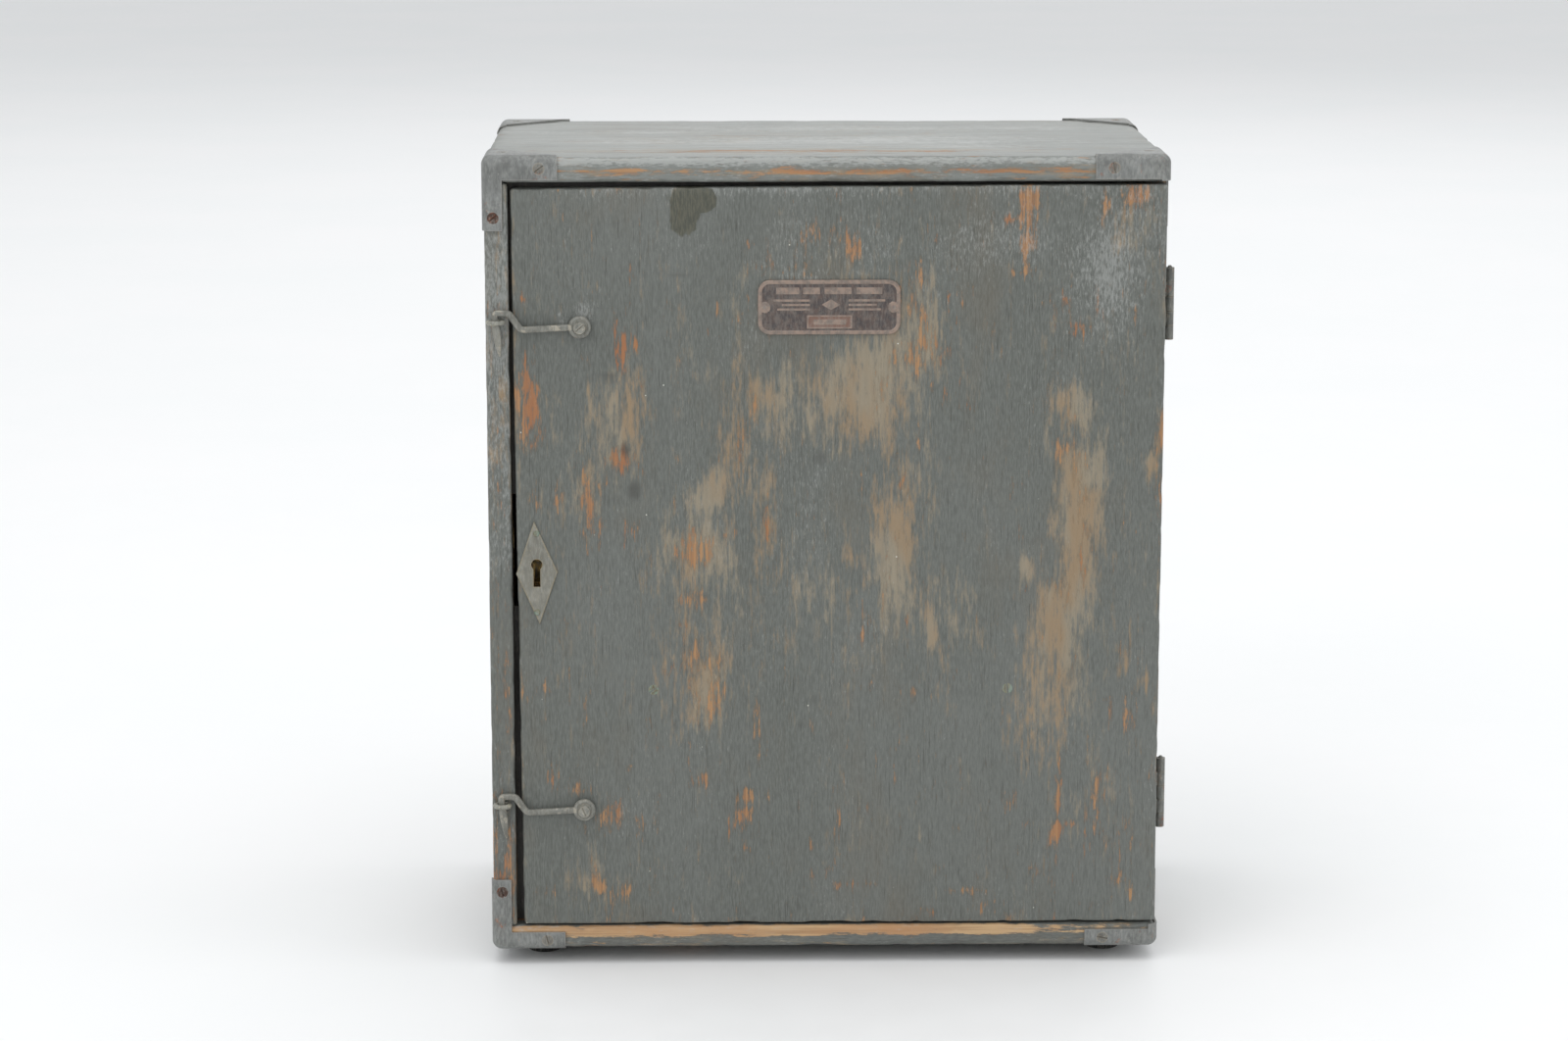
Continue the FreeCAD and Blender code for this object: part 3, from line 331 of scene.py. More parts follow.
def paintedWood(name, look):
    # old oil paint on softwood: bare and rubbed patches come from the board's own point values
    material, b, plug = newMaterial(name, look["paint"], **{"IOR": 1.47, "Specular IOR Level": look["gloss"]})
    place = turnedPlace(b, woodTurns[look["grain"]])
    grain = b.group(grainGroup, Place=place, Scale=1.0)
    values = {key: b.held(key) for key in wearKinds}
    bare = b.group(wearGroup, Place=place, Fibre=grain["Fibre"], Amount=values["bare"], Start=0.32, Soft=0.30)
    rubbed = b.group(wearGroup, Place=b.scaled(place, 0.8), Fibre=grain["Fibre"],
                     Amount=values["rubbed"], Start=0.16, Soft=0.58)
    dust = b.group(dustGroup, Place=place, Amount=values["pale"])
    sway = b.noise(place, (9, 9, 5), 4, 0.6)
    brush = b.noise(place, (820, 820, 60), 4, 0.7)
    mottle = b.noise(place, (1500, 1500, 260), 3, 0.6)
    paint = b.mix(b.ease(sway, 0.32, 0.68), look["paint"], look["paintLight"])
    paint = b.mix(b.ease(brush, 0.42, 0.72, 0.0, 0.45), paint, look["paintDark"])
    paint = b.mix(b.ease(mottle, 0.34, 0.70, 0.0, 0.55), paint, look["paintPale"])
    paint = b.mix(b.times(grain["Pores"], 0.45), paint, tone(56, 56, 50))
    ghost = b.ease(b.noise(place, (30, 30, 13), 4, 0.6), 0.50, 0.75, 0.0, 0.35)
    paint = b.mix(ghost, paint, look["brown"])
    tan = b.mix(grain["Fibre"], look["tan"], look["tanDark"])
    tan = b.mix(b.ease(b.noise(place, (55, 55, 16), 3), 0.42, 0.62), tan, look["tanWarm"])
    wood = b.mix(b.ease(grain["Fibre"], 0.36, 0.64), look["woodDark"], look["wood"])
    wood = b.mix(b.ease(b.noise(place, (48, 48, 9), 3), 0.45, 0.70), wood, look["woodRed"])
    color = b.mix(b.times(rubbed["Mask"], look["tanShare"]), paint, tan)
    color = b.mix(b.times(bare["Rim"], 0.25), color, look["rim"])
    color = b.mix(b.times(bare["Mask"], look["bareShare"]), color, wood)
    color = b.mix(b.times(dust["Haze"], look["hazeShare"]), color, look["haze"])
    blot = b.ease(b.sum(values["stain"], b.times(b.noise(place, (240, 240, 120), 3), 0.5)), 0.68, 0.8)
    stained = b.mix(b.ease(mottle, 0.35, 0.65), tone(66, 68, 58), tone(88, 86, 72))
    color = b.mix(b.times(blot, 0.85), color, stained)
    knotty = b.sum(values["knot"], b.times(mottle, 0.8))
    color = b.mix(b.ease(knotty, 0.70, 1.30, 0.0, 0.62), color, tone(64, 62, 58))
    color = b.mix(dust["Specks"], color, tone(205, 205, 195))
    plug("Base Color", color)
    dry = b.ease(grain["Fibre"], 0.3, 0.7, look["roughness"] - 0.06, look["roughness"] + 0.08)
    dry = b.sum(b.times(bare["Mask"], 0.22), dry)
    dry = b.sum(b.times(rubbed["Mask"], 0.10), dry)
    plug("Roughness", b.sum(b.times(blot, -0.10), dry))
    height = b.times(grain["Fibre"], 0.55)
    height = b.timesPlus(bare["Mask"], -0.55, height)
    height = b.timesPlus(b.noise(place, (1100, 1100, 500), 3, 0.6), 0.30, height)
    height = b.timesPlus(brush, 0.5, height)
    height = b.timesPlus(grain["Pores"], -0.35, height)
    plug("Normal", b.bump(height, 0.75, 0.28 * mm))
    return material


def plainWood(name, look):
    # unpainted wood under old shellac, darker where it was handled
    material, b, plug = newMaterial(name, look["light"], **{"IOR": 1.5, "Specular IOR Level": 0.5,
                                                            "Coat Roughness": 0.32, "Coat IOR": 1.5})
    place = turnedPlace(b, woodTurns[look["grain"]])
    grain = b.group(grainGroup, Place=place, Scale=look["scale"])
    dust = b.group(dustGroup, Place=place, Amount=0.12)
    color = b.mix(grain["Bands"], look["light"], look["dark"])
    color = b.mix(b.ease(grain["Fibre"], 0.35, 0.68, 0.0, 0.6), color, look["deep"])
    color = b.mix(b.times(grain["Pores"], 0.5), color, look["pore"])
    smear = b.ease(b.noise(place, (14, 14, 9), 5, 0.6), 0.45, 0.72)
    color = b.mix(b.times(smear, 0.45), color, look["grime"])
    rub = b.group(edgeGroup, Place=place, Amount=0.7)
    color = b.mix(b.times(rub["Mask"], 0.5), color, look["rub"])
    color = b.mix(b.times(dust["Haze"], 0.16), color, tone(176, 168, 150))
    plug("Base Color", color)
    plug("Roughness", b.sum(b.ease(grain["Fibre"], 0.3, 0.7, 0.42, 0.60), b.times(smear, 0.12)))
    plug("Coat Weight", b.ease(smear, 0.0, 1.0, look["coat"], 0.0))
    height = b.timesPlus(grain["Fibre"], 0.6, b.times(grain["Pores"], -0.6))
    height = b.timesPlus(grain["Bands"], 0.2, height)
    plug("Normal", b.bump(height, 0.6, 0.22 * mm))
    return material


dampEdge = {"x": -153.7 * mm, "half": 4 * mm, "front": -84 * mm, "fade": 2 * mm}


def rustNearEdge(b, place):
    # 1 on the case's free front edge, where the damp gets in, and 0 elsewhere
    spot = b.add("SeparateXYZ", {0: place}).outputs
    line = b.math("ABSOLUTE", b.sum(spot[0], -dampEdge["x"]))
    near = b.ease(line, dampEdge["half"] + dampEdge["fade"], dampEdge["half"])
    return b.times(near, b.ease(spot[1], dampEdge["front"] + dampEdge["fade"], dampEdge["front"]))


def metal(name, look):
    # metal under paint, rust or tarnish: look says how much paint is left, and how much rust and green has
    # come
    material, b, plug = newMaterial(name, look["cover"], **{"IOR": 1.5, "Specular IOR Level": 0.5})
    place = b.spot()
    rub = b.group(edgeGroup, Place=place, Amount=look["rub"])
    amount = look["rust"]
    if look["edgeRust"]:
        amount = b.timesPlus(rustNearEdge(b, place), look["edgeRust"], look["rust"])
    rust = b.group(rustGroup, Place=place, Amount=amount)
    dust = b.group(dustGroup, Place=place, Amount=look["dust"])
    streak = b.noise(place, (620, 620, 240), 4, 0.6)
    worn = b.noise(place, (260, 260, 200), 4, 0.65)
    cover = b.mix(b.ease(streak, 0.34, 0.68), look["cover"], look["coverLight"])
    cover = b.mix(b.ease(b.noise(place, 70, 3), 0.40, 0.66, 0.0, 0.6), cover, look["coverDark"])
    gone = b.ease(b.sum(worn, b.times(rub["Mask"], 0.55)), look["hold"], look["hold"] + look["blend"])
    color = b.mix(gone, cover, look["metal"])
    color = b.mix(rust["Mask"], color, rust["Color"])
    bloom = b.ease(b.noise(place, 330, 4, 0.6), 0.66 - look["green"] * 0.3, 0.80 - look["green"] * 0.3)
    verdigris = b.times(bloom, min(1.0, look["green"] * 3))
    color = b.mix(verdigris, color, tone(108, 126, 112))
    color = b.mix(b.times(dust["Haze"], 0.30), color, tone(168, 170, 164))
    plug("Base Color", color)
    shine = b.times(gone, b.less(1.0, rust["Mask"]))
    shine = b.times(shine, b.less(1.0, verdigris))
    plug("Metallic", b.times(shine, look["bright"]))
    rough = b.sum(b.ease(streak, 0.3, 0.7, look["roughness"] - 0.08, look["roughness"] + 0.12),
                  b.times(rust["Mask"], 0.3))
    plug("Roughness", rough)
    height = b.timesPlus(gone, -0.35, b.times(rust["Height"], 0.55))
    height = b.timesPlus(b.noise(place, 240, 3, 0.5), look["dents"], height)
    plug("Normal", b.bump(height, 0.6, 0.25 * mm))
    return material


doorPaintLook = {
    "grain": "alongZ", "gloss": 0.42, "roughness": 0.50, "paint": tone(92, 95, 90),
    "paintLight": tone(102, 105, 101), "paintDark": tone(78, 80, 74), "paintPale": tone(118, 121, 117),
    "brown": tone(106, 98, 84), "tan": tone(164, 152, 130), "tanDark": tone(132, 122, 105),
    "tanWarm": tone(152, 129, 100), "tanShare": 0.80, "wood": tone(174, 132, 92),
    "woodDark": tone(142, 106, 76), "woodRed": tone(160, 104, 66), "bareShare": 0.86,
    "rim": tone(86, 80, 68), "haze": tone(176, 178, 175), "hazeShare": 0.42,
}
sidePaintLook = {**doorPaintLook, "paint": tone(92, 95, 91), "paintLight": tone(104, 107, 102)}
# the top board's paint is lighter than the door's: painted light, standing in for the brighter light and
# sheen on the top face
topLitPaintLook = {
    **doorPaintLook, "grain": "alongX", "gloss": 0.5, "roughness": 0.40, "hazeShare": 0.58,
    "paint": tone(118, 122, 118), "paintLight": tone(138, 141, 137), "paintDark": tone(98, 100, 95),
}
basePaintLook = {
    **doorPaintLook, "grain": "alongX", "paint": tone(88, 90, 87), "wood": tone(204, 170, 128),
    "woodDark": tone(170, 134, 96), "woodRed": tone(184, 138, 96),
}
doorPaint = paintedWood("doorPaint", doorPaintLook)
sidePaint = paintedWood("sidePaint", sidePaintLook)
topPaint = paintedWood("topPaint", topLitPaintLook)
basePaint = paintedWood("basePaint", basePaintLook)

insideLook = {
    "grain": "alongZ", "scale": 0.55, "coat": 0.35, "light": tone(176, 124, 74), "dark": tone(146, 94, 54),
    "deep": tone(112, 70, 42), "pore": tone(70, 44, 28), "grime": tone(86, 64, 46),
    "rub": tone(196, 152, 102),
}
insideUpright = plainWood("insideWoodUpright", insideLook)
insideLevel = plainWood("insideWoodLevel", {**insideLook, "grain": "alongX"})
sledLook = {
    **insideLook, "light": tone(160, 106, 62), "dark": tone(124, 76, 46), "coat": 0.5, "grain": "alongY",
}
sledWood = plainWood("sledWood", sledLook)
# the door stops are made very dark: painted shade, so that the gap round the door reads dark
stopShadeLook = {
    **insideLook, "light": tone(66, 62, 57), "dark": tone(54, 51, 47), "deep": tone(42, 40, 37),
    "pore": tone(30, 29, 27), "grime": tone(46, 44, 41), "rub": tone(104, 98, 86), "coat": 0.1,
}
stopWood = plainWood("stopWood", stopShadeLook)
stopShadeLevelWood = plainWood("stopWoodLevel", {**stopShadeLook, "grain": "alongX"})
blockWood = plainWood("blockWood", {**sledLook, "grain": "alongX"})

sheetLook = {
    "cover": tone(108, 110, 108), "coverLight": tone(128, 130, 128), "coverDark": tone(86, 87, 84),
    "metal": tone(150, 148, 144), "hold": 0.62, "rub": 0.95, "rust": 0.28, "green": 0.0, "dust": 0.22,
    "bright": 0.55, "roughness": 0.46, "dents": 1.1, "blend": 0.10, "edgeRust": 0.0,
}
hardwareLook = {
    **sheetLook, "cover": tone(88, 90, 86), "coverLight": tone(112, 112, 106), "metal": tone(140, 134, 122),
    "hold": 0.60, "rust": 0.32, "bright": 0.6, "roughness": 0.42, "dents": 0.7,
}
lozengeLook = {
    **hardwareLook, "cover": tone(116, 115, 106), "coverLight": tone(136, 133, 122),
    "coverDark": tone(98, 97, 88), "metal": tone(150, 138, 112), "rust": 0.16, "hold": 0.64,
}
screwLook = {
    **hardwareLook, "cover": tone(94, 94, 90), "coverLight": tone(110, 106, 98),
    "coverDark": tone(70, 66, 60), "rust": 0.34, "edgeRust": 0.5, "hold": 0.74, "roughness": 0.55,
}
brassLook = {
    **hardwareLook, "cover": tone(132, 112, 72), "coverLight": tone(158, 134, 86),
    "coverDark": tone(88, 74, 50), "metal": tone(196, 164, 98), "rust": 0.02, "green": 0.02, "hold": 0.30,
    "blend": 0.40, "bright": 0.9, "roughness": 0.34, "dents": 0.4,
}
greenBrassLook = {
    **brassLook, "green": 0.75, "blend": 0.10, "cover": tone(98, 98, 84), "coverLight": tone(118, 122, 104),
    "metal": tone(126, 122, 96), "bright": 0.3, "hold": 0.6,
}
# the screw eyes: worn brassy metal, with their paint made light, partly their own colour and partly a painted
# highlight
eyeLook = {
    **hardwareLook, "cover": tone(122, 120, 110), "coverLight": tone(160, 158, 146),
    "metal": tone(190, 184, 160), "hold": 0.52, "bright": 0.7, "rust": 0.24,
}
# the hooks' paint is lighter than the other ironwork's: partly their own lighter paint, partly a painted
# highlight
hookIronLook = {
    **hardwareLook, "cover": tone(108, 108, 101), "coverLight": tone(132, 130, 121),
    "coverDark": tone(88, 87, 80), "metal": tone(164, 158, 144), "hold": 0.54, "rust": 0.26,
}
pinLook = {
    **hardwareLook, "cover": tone(112, 98, 90), "coverLight": tone(142, 124, 114),
    "metal": tone(150, 130, 118), "rust": 0.2,
}
sheetIron = metal("paintedSheet", sheetLook)
paintedIron = metal("paintedIron", hardwareLook)
lozengeMetal = metal("lozengeMetal", lozengeLook)
rustySteel = metal("rustySteel", screwLook)
agedBrass = metal("agedBrass", brassLook)
greenBrass = metal("greenBrass", greenBrassLook)
eyeMetal = metal("eyeMetal", eyeLook)
hookIron = metal("hookIron", hookIronLook)
pinMetal = metal("pinMetal", pinLook)


def plateFinish(look):
    # dark field with rubbed copper-brown high spots, from the plate's own raised value
    material, b, plug = newMaterial("plateBronze", look["field"], **{"IOR": 1.5, "Specular IOR Level": 0.5})
    place = b.spot()
    raised = b.held("raised")
    framed = b.held("framed")
    worn = b.noise(place, 300, 4, 0.6)
    fine = b.noise(place, 1500, 3, 0.6)
    dust = b.group(dustGroup, Place=place, Amount=0.25)
    field = b.mix(b.ease(worn, 0.36, 0.66), look["field"], look["fieldBrown"])
    field = b.mix(b.times(framed, 0.75), field, look["box"])
    high = b.mix(b.ease(worn, 0.4, 0.62), look["high"], look["highDull"])
    share = b.ease(raised, 0.3, 0.7)
    color = b.mix(share, field, high)
    color = b.mix(b.times(dust["Haze"], 0.25), color, tone(150, 144, 136))
    plug("Base Color", color)
    plug("Metallic", b.ease(share, 0.0, 1.0, 0.1, 0.4))
    plug("Roughness", b.ease(fine, 0.3, 0.7, 0.38, 0.58))
    plug("Normal", b.bump(fine, 0.35, 0.12 * mm))
    return material


plateBronze = plateFinish({"field": tone(66, 60, 60), "fieldBrown": tone(88, 74, 68),
                           "high": tone(150, 130, 117), "highDull": tone(122, 110, 102),
                           "box": tone(126, 94, 80)})


def softFinish(name, look):
    # felt or rubber: mottled colour with a fibrous or pitted surface
    material, b, plug = newMaterial(name, look["base"],
                                    **{"IOR": 1.45, "Specular IOR Level": look["specular"],
                                       "Sheen Weight": look["sheen"], "Sheen Roughness": 0.5})
    place = b.spot()
    fuzz = b.noise(place, look["fuzz"], 4, 0.7, 0.6)
    wear = b.noise(place, 90, 4, 0.6)
    dust = b.group(dustGroup, Place=place, Amount=0.2)
    color = b.mix(b.ease(fuzz, 0.32, 0.68), look["dark"], look["base"])
    color = b.mix(b.ease(wear, 0.48, 0.72, 0.0, 0.6), color, look["worn"])
    color = b.mix(b.times(dust["Haze"], 0.3), color, tone(150, 148, 140))
    plug("Base Color", color)
    plug("Roughness", b.ease(fuzz, 0.3, 0.7, look["roughness"] - 0.08, look["roughness"] + 0.08))
    plug("Normal", b.bump(fuzz, 0.7, look["depth"]))
    return material


felt = softFinish("greenFelt", {"base": tone(62, 84, 62), "dark": tone(38, 56, 42), "worn": tone(92, 98, 74),
                                "sheen": 0.4, "specular": 0.2, "roughness": 0.88, "fuzz": (1600, 1600, 700),
                                "depth": 0.35 * mm})
rubber = softFinish("blackRubber", {"base": tone(40, 39, 37), "dark": tone(24, 24, 24),
                                    "worn": tone(66, 64, 60), "sheen": 0.0, "specular": 0.4,
                                    "roughness": 0.72, "fuzz": (900, 900, 900), "depth": 0.2 * mm})
print("finishes made")


def edgeNear(points, low, high):
    # how far a box's point is from the nearest edge: the second smallest of its distances to the faces
    gap = np.sort(np.minimum(points - low, high - points), axis=1)
    return gap[:, 1]


def scattered(count, seed, reach, strength, tall=2.2):
    # random soft patches, in the form that patchField takes
    pick = np.random.default_rng(seed)
    wide = pick.uniform(*reach, count)
    return np.stack([pick.uniform(0, 1, count), pick.uniform(0, 1, count), wide,
                     wide * pick.uniform(1.0, tall, count), pick.uniform(*strength, count)], axis=1).tolist()


def unseenWear(counts, seed, bare=(0.15, 0.36), rubbedReach=(0.05, 0.14), rubbed=(0.15, 0.38)):
    # wear for a face that was never seen: how many bare, rubbed and pale patches and knots it has
    return {"bare": scattered(counts[0], seed, (0.02, 0.07), bare),
            "rubbed": scattered(counts[1], seed + 1, rubbedReach, rubbed),
            "pale": scattered(counts[2], seed + 2, (0.05, 0.12), (0.04, 0.13)),
            "knot": scattered(counts[3], seed + 3, (0.012, 0.02), (0.5, 0.7), 1.3)}


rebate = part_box("door_panel")[1][1] - 0.5 * mm


def board(node, look, outer, inner, warp=None, hole=None):
    # a plank: a rounded box whose skin sinks by grain grooves, shallow hollows and bruised edges.
    # sink = grooves * max(0, noise)^1.5 + hollows * noise^2 + bruise * max(0, noise - 0.25) near an edge,
    # with the grooves and the bruises each made in a coarse and a fine layer
    low, high = boxOf(node)
    along = "XYZ".index(look["along"])
    spacing = np.full(3, look["fine"])
    spacing[along] = look["coarse"]
    lines = [marks(low[a], high[a], look["round"], spacing[a], look["extra"].get(a, ())) for a in range(3)]
    grid, faces, facing = boxSkin(lines)
    points, out = rounded(grid, low, high, look["round"])
    stretch = np.full(3, 1.0)
    stretch[along] = look["stretch"]
    seed = look["seed"]
    grooves = np.maximum(0, drift(points, 0.0016 * stretch, seed)) ** 1.5
    grooves += 0.6 * np.maximum(0, drift(points, 0.0042 * stretch, seed + 1)) ** 1.5
    hollow = drift(points, 0.045, seed + 2) ** 2
    near = edgeNear(grid, low, high)
    bruise = np.maximum(0, drift(points, 0.007, seed + 3) - 0.25)
    bruise += np.maximum(0, drift(points, 0.0022, seed + 4) - 0.4) * 0.5
    nearEdge = np.exp(-(near / look["bruiseReach"]) ** 2)
    sink = look["grooves"] * grooves + look["hollows"] * hollow + look["bruise"] * bruise * nearEdge
    points = points - out * sink[:, None]
    share = (points - low) / (high - low)
    across, down = share[:, look["u"]], 1 - share[:, look["v"]]
    if look["flipU"]:
        across = 1 - across
    rub = np.exp(-(near / look["rubReach"]) ** 1.5)
    inAxis, inEnd = divmod(look["inward"], 2)
    turnedIn = np.clip(out[:, inAxis] * (2 * inEnd - 1), 0, 1)
    fields = {key: patchField(across, down, look[key]) for key in wearKinds}
    fields["bare"] = fields["bare"] + look["edgeBare"] * rub * (1 - turnedIn) + look["everywhere"]
    fields["rubbed"] += look["edgeRubbed"] * rub
    fields["pale"] += look["edgePale"] * rub
    if look["more"]:
        for key, extra in look["more"](points, out).items():
            fields[key] += extra
    for pocket in look["pockets"]:
        sinkPocket(points, grid, low, high, look["inward"], pocket)
    if warp:
        points = warp(points, share)
    hidden = points[faces].mean(axis=1)[:, 1] > rebate    # the case is painted as far in as the door is thick
    index = ((facing == look["inward"]) & hidden).astype(int)
    if hole is not None:
        points, faces, index = pierced(points, faces, facing, index, hole)
    piece = solid(look["name"], points, faces, look["body"], [outer, inner], index, fields)
    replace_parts(piece, node)
    return piece


def sinkPocket(points, grid, low, high, inward, pocket):
    # inside a piece's outline, grown by the play, the board's inner face drops by the pocket's depth
    axis, end = divmod(inward, 2)
    pieceLow, pieceHigh = boxOf(pocket["around"])
    face = (low, high)[end][axis]
    inside = abs(grid[:, axis] - face) < 1e-6
    for side in {0, 1, 2} - {axis}:
        inside &= grid[:, side] > pieceLow[side] - pocket["play"]
        inside &= grid[:, side] < pieceHigh[side] + pocket["play"]
    points[inside, axis] = face - (2 * end - 1) * pocket["depth"]


def pocketMarks(pockets, axis):
    # grid marks just inside and outside each pocket's walls
    wall = 0.04 * mm
    places = []
    for pocket in pockets:
        low, high = boxOf(pocket["around"])
        places += [low[axis] - pocket["play"], high[axis] + pocket["play"]]
    return [place + step for place in places for step in (-wall, wall)]


def pierced(points, faces, facing, index, hole):
    # opens a keyhole through the board: faces inside its outline go, and each pair of loose edges, one in
    # front and one behind, gets a wall between them
    middle = points[faces].mean(axis=1)
    across, up = middle[:, 0] - hole["x"], middle[:, 2] - hole["z"]
    bow = across ** 2 + up ** 2 < hole["radius"] ** 2
    slot = (abs(across) < hole["slot"] / 2) & (up < 0) & (up > -hole["drop"])
    inside = bow | slot
    gone = inside & ((facing == 2) | (facing == 3))
    cutFaces = faces[gone & (facing == 2)]
    edges = np.concatenate([np.stack([cutFaces[:, c], cutFaces[:, (c + 1) % 4]], axis=1) for c in range(4)])
    tag = np.sort(edges, axis=1)
    _, first, times = np.unique(tag, axis=0, return_index=True, return_counts=True)
    rim = edges[first[times == 1]]
    backFaces = np.unique(faces[gone & (facing == 3)])
    gap = np.linalg.norm((points[rim.ravel()][:, None] - points[backFaces][None])[:, :, [0, 2]], axis=2)
    behind = backFaces[gap.argmin(axis=1)].reshape(-1, 2)
    walls = np.stack([rim[:, 1], rim[:, 0], behind[:, 0], behind[:, 1]], axis=1)[:, ::-1]
    faces = np.concatenate([faces[~gone], walls])
    return points, faces, np.concatenate([index[~gone], np.ones(len(walls), int)])


keyLow, keyHigh = boxOf("escutcheon")
keyHole = {
    "x": (keyLow[0] + keyHigh[0]) / 2, "z": (keyLow[2] + keyHigh[2]) / 2 + 4.0 * mm, "radius": 3.5 * mm,
    "slot": 5 * mm, "drop": 12 * mm,
}
doorSag = {"leftLean": 2.2 * mm, "topDrop": 1.6 * mm}    # the door has dropped a little at its free corner


def sagged(points, share):
    # moves the left edge in towards the bottom and the top edge down towards the left, in proportion
    moved = points.copy()
    moved[:, 0] += (1 - share[:, 0]) * (1 - share[:, 2]) * doorSag["leftLean"]
    moved[:, 2] -= (1 - share[:, 0]) * share[:, 2] * doorSag["topDrop"]
    return moved


